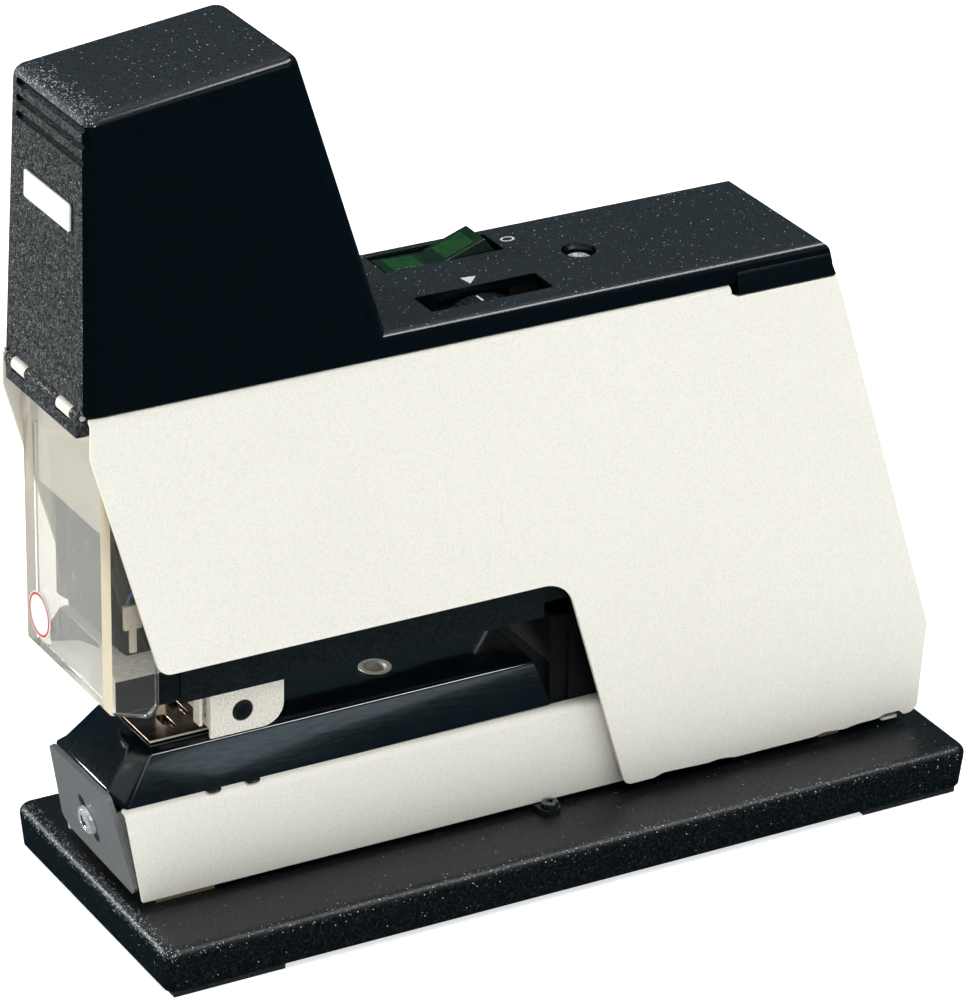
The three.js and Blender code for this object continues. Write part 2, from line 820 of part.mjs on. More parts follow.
function addHead() {
  add("magazine_housing", magazineHousing(), blackPlastic);
  add("magazine_nose", magazineNose(), blackPlastic);
  add("staple_rail", box([-railHalf, railHalf], [staplesFront, -0.9], [railBottom, railTop]), steel);
  add("staple_strip", stapleStrip(), zinc);
  add("staple_pusher", staplePusher(), blackPlastic);
  const { radius, half, y, z } = springRoll;
  add("pusher_spring", tube("x", radius, 1.2, -half, half, [0, y, z], 20), steel);
  add("magazine_pivot", rod("x", 2.45, -18.2, 18.2, [0, magazinePivot.y, magazinePivot.z]), zinc);
  add("driver_blade", driverBlade(), steel);
  add("solenoid_yoke", yoke(), zinc);
  const { bottom, top, coilRadius, boreRadius } = solenoid;
  const coil = tube("z", coilRadius, boreRadius, bottom + 4.8, top - 4.8, [0, driveLine, 0], 32);
  add("solenoid_coil", coil, copper);
  add("plunger", plunger(), steel);
  const returnSpring = new Helix(9.4, top + 1.1, plungerCap - 3.1, 4.5, driveLine);
  add("return_spring", wire(returnSpring, 0.7, 60, 6), steel);
}

// ---------------------------------------------------------------- depth stop

function paperStop() {
  const inner = stopCheek - sheet;
  const floor = coverTop + gap;
  const cheek = prism(
    "x",
    [
      [stopFront, floor],
      [stopRear, floor, 5.5],
      [stopRear, 64.8],
      [stopFront, 64.8],
    ],
    inner,
    stopCheek,
  );
  const button = rod("x", 2.7, 10, 20, [0, -77.2, 56.3]);
  const flange = box([inner - 4.2, inner + 0.2], [stopFront, stopFront + sheet], [53, 64]);
  const sides = [cheek, flange];
  const farCheek = prism(
    "x",
    [
      [stopFront, floor],
      [stopRear, floor, 5.5],
      [stopRear, 64.8],
      [stopFront, 64.8],
    ],
    -stopCheek,
    -inner,
  );
  const farFlange = box([-inner - 0.2, -inner + 4.2], [stopFront, stopFront + sheet], [53, 64]);
  const bridge = box([-inner - 0.5, inner + 0.5], [stopFront + 3.2, stopRear - 6.5], [floor, floor + sheet]);
  return cut(joined(...sides, farCheek, farFlange, bridge), button);
}

function stopKnob() {
  const stem = rod("x", 2.4, 10.6, stopCheek + 0.7, [0, -77.2, 56.3]);
  const head = rod("x", 4.2, 10.4, 13.3, [0, -77.2, 56.3]);
  return joined(stem, head);
}

const triggerPivot = { x: 11.2, y: -87.2, z: 62.2 };

function triggerLever() {
  const { x, y, z } = triggerPivot;
  const blade = box([x - 1.6, x + 1.6], [y - 0.4, y + 0.4], [53.6, z]);
  const barrel = rod("x", 0.9, x - 1.6, x + 1.6, [0, y, z], 12);
  return joined(blade, barrel);
}

function addStop() {
  add("paper_stop", paperStop(), nickel);
  add("stop_knob", stopKnob(), blackPlastic);
  add("trigger_lever", triggerLever(), nickel);
}

// ---------------------------------------------------------------- electrics

function interlockSwitch() {
  const outer = box([17.3, 22.3], [-98.4, -84], [111, 124]);
  return cut(outer, rod("y", 1.4, -110, -88, [19.6, 0, 117.5], 16));
}

function circuitBoard() {
  const board = box([4.2, 5.8], [28, 76], [56, 118]);
  const chips = joined(
    box([5.6, 9.5], [34, 46], [66, 74]),
    box([5.6, 8.5], [52, 60], [80, 100]),
    box([5.6, 12], [36, 44], [92, 110]),
  );
  return joined(board, chips);
}

function addElectrics() {
  add("interlock_switch", interlockSwitch(), blackPlastic);
  add("interlock_pin", rod("y", 1.1, guardWingRear + gap, -90.5, [19.6, 0, 117.5], 16), whiteFilm);
  add("circuit_board", circuitBoard(), boardGreen);
  add("capacitor", rod("y", 7.8, 34, 66, [-4.2, 0, 98]), capacitorBlue);
}

addBase();
addLowerArm();
addBody();
addTop();
addGuard();
addHead();
addStop();
addElectrics();

export default part;
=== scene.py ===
"""An electric stapler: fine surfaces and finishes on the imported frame.

Every shape below is written in millimetres in the machine's own terms: Z up, -Y the stapling end, and
Y counted from the middle of the base plate. place() turns that into metres in the frame's axes.
"""

import math

import bmesh
import bpy
from mathutils import Matrix, Vector


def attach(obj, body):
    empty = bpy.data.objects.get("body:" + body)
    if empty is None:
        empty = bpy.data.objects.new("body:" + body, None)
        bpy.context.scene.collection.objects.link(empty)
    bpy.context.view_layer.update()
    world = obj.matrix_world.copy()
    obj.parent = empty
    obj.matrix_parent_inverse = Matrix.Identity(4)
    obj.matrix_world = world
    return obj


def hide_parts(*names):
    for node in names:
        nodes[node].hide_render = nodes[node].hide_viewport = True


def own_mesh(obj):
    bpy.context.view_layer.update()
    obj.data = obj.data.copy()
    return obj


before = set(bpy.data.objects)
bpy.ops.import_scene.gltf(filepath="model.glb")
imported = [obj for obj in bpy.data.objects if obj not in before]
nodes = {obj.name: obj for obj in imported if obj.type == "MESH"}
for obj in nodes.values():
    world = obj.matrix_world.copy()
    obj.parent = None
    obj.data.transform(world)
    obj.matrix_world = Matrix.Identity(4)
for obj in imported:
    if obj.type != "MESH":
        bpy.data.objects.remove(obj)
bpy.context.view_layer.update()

MM = 0.001
FRONT_SHIFT = 5.0  # the base's middle lies this far behind the origin
LIT_POINT = Vector((0, 0, 0.09))  # what every light faces, in metres
WELD, FLAT = 2e-6, math.radians(0.6)  # vertices this near are one; faces this close to level are one
SMOOTH = math.radians(35)  # shading runs smoothly over an edge that turns less than this


def place(x, y, z):
    return Vector((x, y + FRONT_SHIFT, z)) * MM


def new_object(name, data):
    obj = bpy.data.objects.new(name, data)
    bpy.context.scene.collection.objects.link(obj)
    return obj


def plain_object(name, bm):
    """An object from mesh code, in the code's own units."""
    mesh = bpy.data.meshes.new(name)
    bm.to_mesh(mesh)
    bm.free()
    return new_object(name, mesh)


def set_stops(ramp, stops):
    """Gives a colour ramp its (position, colour) stops."""
    elements = ramp.elements
    while len(elements) < len(stops):
        elements.new(0.5)
    for element, (position, colour) in zip(elements, stops):
        element.position, element.color = position, (*colour, 1)


# ---- Camera, light and floor ----


def add_camera():
    turn, tilt, roll = map(math.radians, (60.5919, 25.6636, 0.94806))
    back = Vector((math.sin(turn) * math.cos(tilt), -math.cos(turn) * math.cos(tilt), math.sin(tilt)))
    right = Vector((math.cos(turn), math.sin(turn), 0))
    up = right.cross(-back)
    axis_x = right * math.cos(roll) + up * math.sin(roll)
    axis_y = up * math.cos(roll) - right * math.sin(roll)
    data = bpy.data.cameras.new("camera")
    data.lens, data.sensor_width = 199.1, 36
    data.clip_start, data.clip_end = 0.05, 20
    camera = new_object("camera", data)
    matrix = Matrix((axis_x, axis_y, back)).transposed().to_4x4()
    matrix.translation = Vector((1.03804, -0.58487, 0.66112))
    camera.matrix_world = matrix
    bpy.context.scene.camera = camera


def add_light(name, azimuth, elevation, distance, size, power, tint=(1, 1, 1)):
    """A softbox facing the machine's middle; azimuth 0 is in front of it, 90 on the thumbwheel's side."""
    a, e = math.radians(azimuth), math.radians(elevation)
    away = Vector((math.sin(a) * math.cos(e), -math.cos(a) * math.cos(e), math.sin(e)))
    data = bpy.data.lights.new(name, "AREA")
    data.shape, data.size, data.size_y = "RECTANGLE", size[0], size[1]
    data.energy, data.color = power, tint
    light = new_object(name, data)
    light.location = LIT_POINT + away * distance
    light.rotation_euler = (-away).to_track_quat("-Z", "Y").to_euler()


def add_world():
    """A dim studio: dark below the horizon, brightening slowly towards the ceiling."""
    world = bpy.data.worlds.new("studio")
    world.use_nodes = True
    tree = world.node_tree
    coords = tree.nodes.new("ShaderNodeTexCoord")
    parts = tree.nodes.new("ShaderNodeSeparateXYZ")
    sky = tree.nodes.new("ShaderNodeValToRGB")
    tree.links.new(coords.outputs["Generated"], parts.inputs[0])
    height = tree.nodes.new("ShaderNodeMapRange")
    height.inputs["From Min"].default_value, height.inputs["From Max"].default_value = -1, 1
    tree.links.new(parts.outputs["Z"], height.inputs["Value"])
    tree.links.new(height.outputs["Result"], sky.inputs["Fac"])
    stops = (
        (0.47, (0.006, 0.030, 0.045)),
        (0.60, (0.03, 0.06, 0.075)),
        (0.80, (0.06, 0.09, 0.11)),
        (0.93, (0.58, 0.62, 0.66)),
        (1.0, (0.66, 0.70, 0.74)),
    )
    set_stops(sky.color_ramp, stops)
    tree.links.new(sky.outputs["Color"], tree.nodes["Background"].inputs["Color"])
    tree.nodes["Background"].inputs["Strength"].default_value = 1.0
    bpy.context.scene.world = world


def add_backdrop(material):
    """A pale wall all round, far behind the lights, that closes the view over the floor's edge."""
    bm = bmesh.new()
    rings = []
    for radius, z in ((5.6, -0.01), (5.7, 5.0)):
        rings.append([bm.verts.new((*p, z)) for p in circle(0, 0, radius, 72)])
    wall = plain_object("backdrop", bridge(bm, rings, caps=False))
    wall.data.materials.append(material)
    wall.visible_glossy = wall.visible_diffuse = wall.visible_shadow = False


def add_stage():
    bpy.context.scene.view_settings.view_transform = "Standard"
    add_world()
    add_light("key", 78, 30, 1.6, (1.1, 0.9), 4.1, (0.99, 1.0, 1.0))
    add_light("rear_strip", 136, 52, 1.3, (0.9, 0.2), 9.2)
    add_light("rear_low", 115, 16, 1.5, (0.5, 0.12), 0.3, (0.75, 0.92, 1.0))
    add_light("left_front", -50, 17, 1.5, (0.24, 0.24), 12)
    add_light("front_fill", -12, 22, 1.6, (1.0, 0.6), 5.5)
    add_light("overhead", 20, 80, 1.4, (1.0, 1.0), 2.0)
    bm = bmesh.new()
    bmesh.ops.create_grid(bm, x_segments=1, y_segments=1, size=6)
    floor = plain_object("floor", bm)
    floor.data.materials.append(paint("floor_white", (0.93, 0.93, 0.93), 0.9, glow=0.72))
    floor.visible_glossy = False
    add_backdrop(floor.data.materials[0])


# ---- Finishes ----


class Nodes:
    """A new material, with short calls for its nodes."""

    def __init__(self, name):
        self.material = bpy.data.materials.new(name)
        self.material.use_nodes = True
        self.tree = self.material.node_tree
        self.shader = self.tree.nodes["Principled BSDF"]
        self.coords = self.tree.nodes.new("ShaderNodeTexCoord").outputs["Object"]

    def add(self, kind, **inputs):
        node = self.tree.nodes.new(kind)
        for key, value in inputs.items():
            socket = node.inputs[int(key[1:])] if key[0] == "_" else node.inputs[key.replace("_", " ")]
            self.feed(socket, value)
        return node

    def feed(self, socket, value):
        if isinstance(value, bpy.types.NodeSocket):
            self.tree.links.new(value, socket)
        else:
            socket.default_value = value

    def set(self, **inputs):
        for key, value in inputs.items():
            self.feed(self.shader.inputs[key.replace("_", " ")], value)

    def noise(self, scale, detail=3.0, rough=0.55):
        settings = {"Scale": scale, "Detail": detail, "Roughness": rough}
        return self.add("ShaderNodeTexNoise", Vector=self.coords, **settings).outputs["Fac"]

    def cells(self, scale, feature="F1"):
        node = self.tree.nodes.new("ShaderNodeTexVoronoi")
        node.feature = feature
        self.feed(node.inputs["Vector"], self.coords)
        node.inputs["Scale"].default_value = scale
        return node.outputs

    def ramp(self, value, *stops):
        node = self.add("ShaderNodeValToRGB", Fac=value)
        set_stops(node.color_ramp, stops)
        return node.outputs["Color"]

    def span(self, value, low, high, to_low, to_high):
        node = self.add("ShaderNodeMapRange", Value=value)
        for key, number in zip(("From Min", "From Max", "To Min", "To Max"), (low, high, to_low, to_high)):
            node.inputs[key].default_value = number
        return node.outputs["Result"]

    def mix(self, factor, a, b, blend="MIX"):
        node = self.tree.nodes.new("ShaderNodeMix")
        node.data_type, node.blend_type = "RGBA", blend
        self.feed(node.inputs["Factor"], factor)
        for key, value in (("A", a), ("B", b)):
            socket = [s for s in node.inputs if s.name == key and s.type == "RGBA"][0]
            self.feed(socket, (*value, 1) if isinstance(value, tuple) and len(value) == 3 else value)
        return [s for s in node.outputs if s.type == "RGBA"][0]

    def math(self, operation, a, b=0.0):
        node = self.tree.nodes.new("ShaderNodeMath")
        node.operation = operation
        self.feed(node.inputs[0], a)
        self.feed(node.inputs[1], b)
        return node.outputs[0]

    def grains(self, scale, low, high, colour):
        """Multiplies a colour by a different brightness for every grain."""
        seed = self.tree.nodes.new("ShaderNodeSeparateColor")
        self.feed(seed.inputs[0], self.cells(scale)["Color"])
        shades = self.ramp(seed.outputs[0], (0.0, (low,) * 3), (1.0, (high,) * 3))
        return self.mix(1.0, colour, shades, "MULTIPLY")

    def painted_glints(self, scale, chance, brightest, colour):
        """Paints tiny bright glints into the colour, as painted highlights; chance is the share of grains
        painted bright.
        """
        cell = self.cells(scale)
        seed = self.tree.nodes.new("ShaderNodeSeparateColor")
        self.feed(seed.inputs[0], cell["Color"])
        chosen = self.math("LESS_THAN", seed.outputs[0], chance)
        near = self.math("LESS_THAN", cell["Distance"], 0.4)
        glint_colour = self.ramp(seed.outputs[1], (0.2, (0.07, 0.085, 0.095)), (1.0, brightest))
        return self.mix(self.math("MULTIPLY", chosen, near), colour, glint_colour)

    def axis(self, index):
        """One coordinate of the point being shaded, in metres."""
        parts = self.add("ShaderNodeSeparateXYZ", _0=self.coords)
        return parts.outputs[index]

    def bump(self, height, strength, distance=0.0002, normal=None):
        node = self.add("ShaderNodeBump", Height=height, Strength=strength, Distance=distance)
        if normal is not None:
            self.feed(node.inputs["Normal"], normal)
        return node.outputs["Normal"]


def paint(name, colour, roughness, glow=0.0, coat=0.0):
    """A plain finish whose tone and gloss still wander a little."""
    n = Nodes(name)
    wander = n.noise(60, 4)
    darker = tuple(c * 0.93 for c in colour)
    n.set(Base_Color=n.ramp(wander, (0.35, darker), (0.65, colour)), Coat_Weight=coat)
    n.set(Roughness=n.span(n.noise(240), 0.3, 0.7, roughness * 0.9, min(1, roughness * 1.1)))
    if glow:
        n.set(Emission_Color=(*colour, 1), Emission_Strength=glow)
    return n.material


def cream_coat():
    """Fine-textured cream powder coat: a faint orange peel, and dust-fine darker and yellower specks."""
    n = Nodes("cream_powder_coat")
    fine = n.noise(3400, 2, 0.7)
    broad = n.noise(9, 3)
    base = n.ramp(broad, (0.3, (0.800, 0.765, 0.680)), (0.7, (0.830, 0.795, 0.710)))
    specks = n.ramp(fine, (0.33, (0.84, 0.835, 0.82)), (0.55, (1, 1, 1)))
    n.set(Base_Color=n.mix(1.0, base, specks, "MULTIPLY"), Specular_IOR_Level=0.4)
    n.set(Roughness=n.span(fine, 0.3, 0.7, 0.38, 0.52))
    peel = n.bump(n.noise(900, 2), 0.05, 0.00006)
    n.set(Normal=n.bump(fine, 0.12, 0.00003, peel))
    return n.material


def moulded_black(name, grain, tone=0.012, gloss=0.34, glint_share=0.0, depth=0.5, size=1400):
    """Black moulded plastic, slightly blue; grain is smooth, sand or leather."""
    n = Nodes(name)
    fine = n.noise(size, 3, 0.6)
    tint = {"smooth": (0.35, 1.1, 1.7), "sand": (0.66, 1.05, 1.3), "leather": (1.0, 1.06, 1.05)}[grain]
    dark = tuple(0.3 * tone * c for c in tint)
    light = tuple(2.1 * tone * c for c in tint)
    colour = n.ramp(fine, (0.38, dark), (0.66, light))
    rough = n.span(fine, 0.3, 0.7, gloss * 0.85, gloss * 1.2)
    if grain == "leather":
        cell = n.cells(1150, "DISTANCE_TO_EDGE")["Distance"]
        pebble = n.span(cell, 0.0, 0.2, 0.0, 1.0)
        normal = n.bump(pebble, depth, 0.00025)
        normal = n.bump(n.noise(2600, 2), 0.5, 0.00008, normal)
        # the creases between the pebbles are painted near black: painted shade
        colour = n.mix(n.span(pebble, 0.0, 1.0, 0.85, 0.0), colour, (0.006, 0.007, 0.008))
    elif grain == "sand":
        normal = n.bump(n.noise(size * 0.7, 4, 0.7), depth, 0.0003)
    else:
        normal = n.bump(n.noise(90, 2), 0.05, 0.0003)
        normal = n.bump(n.noise(1800, 2), 0.12, 0.00003, normal)
    if grain == "leather":
        colour = n.grains(1250, 0.38, 1.70, colour)
    if glint_share:
        colour = n.grains(1900, 0.55, 1.45, colour)
        # more painted glints, as painted highlights, on the edge between the tower's front and its top
        near_front = n.span(n.axis(1), -0.1045, -0.1085, 0.0, 1.0)
        near_top = n.span(n.axis(2), 0.205, 0.207, 0.0, 1.0)
        glint_edge = n.math("MULTIPLY", near_front, near_top)
        chance = n.math("ADD", n.math("MULTIPLY", glint_edge, 0.6), glint_share)
        colour = n.painted_glints(2300, chance, (0.62, 0.66, 0.68), colour)
    n.set(Base_Color=colour, Roughness=rough, Normal=normal, Specular_IOR_Level=0.5)
    return n.material


def wrinkle_black():
    """Black wrinkle finish on the base: soft lumps, painted darker in their hollows and lighter on their
    crowns as painted shade and highlight, with painted glints on a few grains.
    """
    n = Nodes("wrinkle_black")
    lumps = n.noise(1300, 4, 0.65)
    # the colour follows the lumps' height: painted shade in the hollows, a painted highlight on the crowns
    hollow, slope, crown = (0.0015, 0.0023, 0.0025), (0.0055, 0.0075, 0.008), (0.034, 0.040, 0.042)
    colour = n.ramp(lumps, (0.42, hollow), (0.60, slope), (0.74, crown))
    colour = n.grains(1500, 0.65, 1.35, colour)
    # more painted glints, as painted highlights, on the base's upper front edge, and a few on its upper
    # right edge
    upper = n.span(n.axis(2), 0.0105, 0.0118, 0.0, 1.0)
    front = n.math("MULTIPLY", n.span(n.axis(1), -0.1015, -0.1035, 0.0, 0.5), upper)
    side = n.math("MULTIPLY", n.span(n.axis(0), 0.0385, 0.0400, 0.0, 0.09), upper)
    chance = n.math("ADD", n.math("ADD", front, side), 0.005)
    colour = n.painted_glints(2400, chance, (0.50, 0.54, 0.56), colour)
    n.set(Base_Color=colour, Specular_IOR_Level=0.42)
    n.set(Roughness=n.span(n.noise(1500), 0.3, 0.7, 0.26, 0.50))
    coarse = n.bump(lumps, 0.5, 0.0002)
    n.set(Normal=n.bump(n.noise(2200, 2), 0.3, 0.00005, coarse))
    return n.material


def gloss_enamel():
    """Glossy black enamel on folded steel: fine drawn streaks over the slow ripple of dipped paint."""
    n = Nodes("gloss_black_enamel")
    n.set(Base_Color=n.ramp(n.noise(40), (0.3, (0.002, 0.0032, 0.0045)), (0.7, (0.0035, 0.0058, 0.008))))
    mapping = n.add("ShaderNodeMapping", Vector=n.coords, Scale=(1.0, 0.16, 1.0))
    streaks = n.add("ShaderNodeTexNoise", Vector=mapping.outputs[0], Scale=1500.0, Detail=3.0).outputs["Fac"]
    n.set(Roughness=n.span(streaks, 0.3, 0.75, 0.07, 0.17), Coat_Weight=0.4, Coat_Roughness=0.04)
    ripple = n.bump(n.noise(130, 3), 0.06, 0.0004)
    n.set(Normal=n.bump(streaks, 0.16, 0.00004, ripple))
    return n.material


def metal(name, colour, rough, streak=(1, 1, 1), stain=None, depth=0.08, scale=600, metallic=1.0):
    """Bare or plated metal; streak stretches the brushing, and a low metallic makes it satin."""
    n = Nodes(name)
    mapping = n.add("ShaderNodeMapping", Vector=n.coords, Scale=streak)
    lines = n.add("ShaderNodeTexNoise", Vector=mapping.outputs[0], Scale=scale, Detail=4.0).outputs["Fac"]
    dark = tuple(c * 0.78 for c in colour)
    tone = n.ramp(lines, (0.35, dark), (0.62, colour))
    if stain:
        tone = n.mix(n.span(n.noise(170, 4), 0.45, 0.68, 0.0, 0.75), tone, stain)
    n.set(Base_Color=tone, Metallic=metallic, Roughness=n.span(lines, 0.3, 0.7, rough * 0.75, rough * 1.35))
    n.set(Normal=n.bump(lines, depth, 0.00004))
    return n.material


def rubber():
    n = Nodes("foot_rubber")
    fine = n.noise(1500, 3)
    n.set(Base_Color=n.ramp(fine, (0.35, (0.008, 0.008, 0.009)), (0.7, (0.022, 0.022, 0.024))))
    n.set(Roughness=n.span(fine, 0.3, 0.7, 0.7, 0.9), Normal=n.bump(fine, 0.3, 0.00006))
    return n.material


def fibre():
    """Pressed fibre: tangled fine strands, tan, matt."""
    n = Nodes("tan_fibre")
    strands = n.noise(1100, 6, 0.75)
    dark, middle, pale = (0.24, 0.16, 0.08), (0.46, 0.34, 0.19), (0.62, 0.48, 0.30)
    n.set(Base_Color=n.ramp(strands, (0.3, dark), (0.55, middle), (0.75, pale)))
    n.set(Roughness=0.9, Normal=n.bump(strands, 0.6, 0.0002))
    return n.material


def acrylic(name, tint, veil, gleam=0.8, haze=(0.86, 0.84, 0.79)):
    """Acrylic sheet as a thin skin: a milky veil over what is behind it, of fine scratches and, where the
    veil is thick, also of painted reflection and highlight; and a reflection that grows towards grazing."""
    n = Nodes(name)
    tree = n.tree
    tree.nodes.remove(n.shader)
    clear = n.add("ShaderNodeBsdfTransparent", Color=(*tint, 1))
    amount = n.span(n.noise(30, 5), 0.3, 0.7, veil * 0.92, veil * 1.08)
    amount = n.math("ADD", amount, n.span(n.noise(900, 2), 0.62, 0.72, 0.0, 0.05))
    milky = n.add("ShaderNodeBsdfDiffuse", Color=(*haze, 1))
    body = n.add("ShaderNodeMixShader", _0=amount, _1=clear.outputs[0], _2=milky.outputs[0])
    shine = n.add("ShaderNodeBsdfGlossy", Color=(1, 1, 1, 1), Roughness=0.05)
    fresnel = n.add("ShaderNodeFresnel", IOR=1.49)
    strength = n.math("MULTIPLY", fresnel.outputs[0], gleam)
    final = n.add("ShaderNodeMixShader", _0=strength, _1=body.outputs[0], _2=shine.outputs[0])
    output = [x for x in tree.nodes if x.type == "OUTPUT_MATERIAL"][0]
    tree.links.new(final.outputs[0], output.inputs["Surface"])
    return n.material


def green_lens():
    """Translucent dark green, for the rocker's body."""
    n = Nodes("green_translucent")
    cloud = n.noise(300, 3)
    n.set(Base_Color=n.ramp(cloud, (0.3, (0.003, 0.016, 0.005)), (0.7, (0.006, 0.032, 0.009))))
    n.set(Roughness=0.08, IOR=1.5, Transmission_Weight=0.25, Coat_Weight=0.5, Coat_Roughness=0.03)
    return n.material


def winding():
    """Fine enamelled wire, laid turn on turn."""
    n = Nodes("copper_winding")
    wave = n.tree.nodes.new("ShaderNodeTexWave")
    wave.bands_direction = "Z"
    n.feed(wave.inputs["Vector"], n.coords)
    wave.inputs["Scale"].default_value = 520
    wave.inputs["Distortion"].default_value = 0.4
    n.set(Base_Color=n.ramp(wave.outputs["Fac"], (0.2, (0.20, 0.07, 0.03)), (0.7, (0.62, 0.28, 0.12))))
    n.set(Metallic=0.9, Roughness=0.35, Normal=n.bump(wave.outputs["Fac"], 0.6, 0.0001))
    return n.material


add_camera()
CREAM = cream_coat()
SMOOTH_BLACK = moulded_black("smooth_black", "smooth", 0.0020, 0.22, size=3000)
# the sand grain carries painted glints, as painted highlights
SAND_BLACK = moulded_black("sand_black", "sand", 0.011, 0.5, glint_share=0.032, depth=0.6, size=2600)
LEATHER_BLACK = moulded_black("leather_black", "leather", 0.064, 0.45, depth=0.9)
PART_BLACK = moulded_black("part_black", "sand", 0.006, 0.36, depth=0.12, size=2200)
WRINKLE = wrinkle_black()
ENAMEL = gloss_enamel()
STEEL_BLACK = moulded_black("black_painted_steel", "sand", 0.008, 0.40, depth=0.15, size=2600)
# SHADOW_BLACK is a darker, matt copy of the black painted steel, for parts in shade: painted shade
SHADOW_BLACK = moulded_black("black_steel_painted_shade", "sand", 0.0015, 0.8, depth=0.1, size=1500)
# a dark copy of the bright zinc, for the base screws under the arm: painted shade
SHADED_ZINC = metal("zinc_painted_shade", (0.16, 0.165, 0.17), 0.16, (3, 3, 1), depth=0.05)
END_GREY = metal("satin_dark_plate", (0.19, 0.195, 0.195), 0.45, depth=0.5, scale=1700, metallic=0.2)
ZINC = metal("bright_zinc", (0.86, 0.88, 0.92), 0.22, (3, 3, 1), depth=0.06, metallic=0.55)
NICKEL = metal("warm_nickel", (0.90, 0.84, 0.73), 0.42, (1, 1, 1), (0.84, 0.77, 0.65), 0.05, 1700, 0.12)
# a bright satin painted on the magazine nose's top, slopes and front: painted light
SATIN_PAINTED_LIGHT = metal("satin_painted_light", (0.88, 0.86, 0.80), 0.38, (3, 1, 3), depth=0.05, metallic=0.1)
# the anvil die's top and front take this dark copy of its nickel: painted shade
SHADED_ANVIL = metal("anvil_nickel", (0.26, 0.20, 0.15), 0.12, (6, 1, 1), stain=(0.04, 0.024, 0.016), metallic=0.9)
STEEL = metal("bright_steel", (0.58, 0.59, 0.61), 0.28, (1, 4, 1), metallic=0.8)
COPPER_WIRE = metal("bare_copper", (0.80, 0.50, 0.34), 0.25, metallic=0.8)
BARE_WIRE = metal("tinned_wire", (0.85, 0.80, 0.66), 0.3, metallic=0.1)
WINDING = winding()
RUBBER = rubber()
FIBRE = fibre()
# the front sheet's thick milky veil is fine scratches and painted reflection
CLEAR_FRONT = acrylic("clear_acrylic_front", (0.985, 0.975, 0.95), 0.20, 0.3, (0.86, 0.85, 0.80))
CLEAR = acrylic("clear_acrylic", (0.985, 0.975, 0.95), 0.03)
CLEAR_EDGE = acrylic("acrylic_edge", (0.90, 0.84, 0.74), 0.86, 0.6, (0.84, 0.72, 0.53))
# the cut rims' pale veil and stronger gleam are a painted highlight
CLEAR_RIM = acrylic("acrylic_rim", (0.97, 0.96, 0.93), 0.60, 1.2)
GREEN = green_lens()
WHITE = paint("white_plastic", (0.80, 0.80, 0.78), 0.45)
WHITE_INK = paint("white_ink", (0.72, 0.73, 0.72), 0.5)
RED_INK = paint("red_ink", (0.62, 0.07, 0.05), 0.5)
BLUE = paint("blue_sleeve", (0.03, 0.12, 0.42), 0.35)
BOARD = paint("board_green", (0.03, 0.13, 0.06), 0.4, coat=0.4)
CAPACITOR = paint("capacitor_blue", (0.03, 0.08, 0.18), 0.3, coat=0.4)

# ---- Mesh tools ----


def outline_of(corners, step=9.0):
    """Corners (a, b, radius) of an outline, with each radius turned into a fine arc."""
    points = []
    count = len(corners)
    for i, corner in enumerate(corners):
        here = Vector(corner[:2])
        radius = corner[2] if len(corner) > 2 else 0
        if not radius:
            points.append(here)
            continue
        back = (Vector(corners[i - 1][:2]) - here).normalized()
        ahead = (Vector(corners[(i + 1) % count][:2]) - here).normalized()
        half = back.angle(ahead) / 2
        centre = here + (back + ahead).normalized() * (radius / math.sin(half))
        start = here + back * (radius / math.tan(half)) - centre
        end = here + ahead * (radius / math.tan(half)) - centre
        turn = math.pi - 2 * half
        side = 1 if start.cross(end) > 0 else -1
        steps = max(3, round(math.degrees(turn) / step))
        for k in range(steps + 1):
            spoke = Matrix.Rotation(side * turn * k / steps, 2) @ start
            points.append(centre + spoke)
    return points


def circle(a, b, radius, sides=48):
    turns = [2 * math.pi * k / sides for k in range(sides)]
    return [Vector((a + radius * math.cos(t), b + radius * math.sin(t))) for t in turns]


def along(axis, a, b, c):
    """A point whose place along axis is c, and whose other two coordinates are a and b in x, y, z order."""
    return {"x": (c, a, b), "y": (a, c, b), "z": (a, b, c)}[axis]


def prism(axis, points, low, high):
    bm = bmesh.new()
    rings = [[bm.verts.new(along(axis, p[0], p[1], c)) for p in points] for c in (low, high)]
    bridge(bm, rings)
    return bm


def bridge(bm, rings, caps=True):
    count = len(rings[0])
    for lower, upper in zip(rings, rings[1:]):
        for i in range(count):
            j = (i + 1) % count
            bm.faces.new((lower[i], lower[j], upper[j], upper[i]))
    if caps:
        bm.faces.new(list(reversed(rings[0])))
        bm.faces.new(rings[-1])
    bmesh.ops.recalc_face_normals(bm, faces=bm.faces)
    return bm


def box_corners(low_a, high_a, low_b, high_b, third=0):
    """A rectangle's four corners, all with the same third value: a corner radius, or a height."""
    corners = ((low_a, low_b), (high_a, low_b), (high_a, high_b), (low_a, high_b))
    return [(a, b, third) for a, b in corners]


def block(x, y, z):
    return prism("z", box_corners(*x, *y), *z)


def lathe(axis, centre, profile, sides=64):
    """Turns (radius, place along axis) pairs; a radius of 0 closes the end."""
    bm = bmesh.new()
    rings = []
    for radius, c in profile:
        points = circle(*centre, max(radius, 1e-4), sides)
        rings.append([bm.verts.new(along(axis, p[0], p[1], c)) for p in points])
    bridge(bm, rings)
    bmesh.ops.remove_doubles(bm, verts=bm.verts, dist=5e-4)
    return bm


def ring_solid(axis, centre, profile, sides=64):
    """Turns a closed section of (radius, place along axis) pairs into a ring."""
    bm = bmesh.new()
    rings = []
    for radius, c in profile + profile[:1]:
        rings.append([bm.verts.new(along(axis, p[0], p[1], c)) for p in circle(*centre, radius, sides)])
    bridge(bm, rings, caps=False)
    bmesh.ops.remove_doubles(bm, verts=bm.verts, dist=1e-4)
    return bm


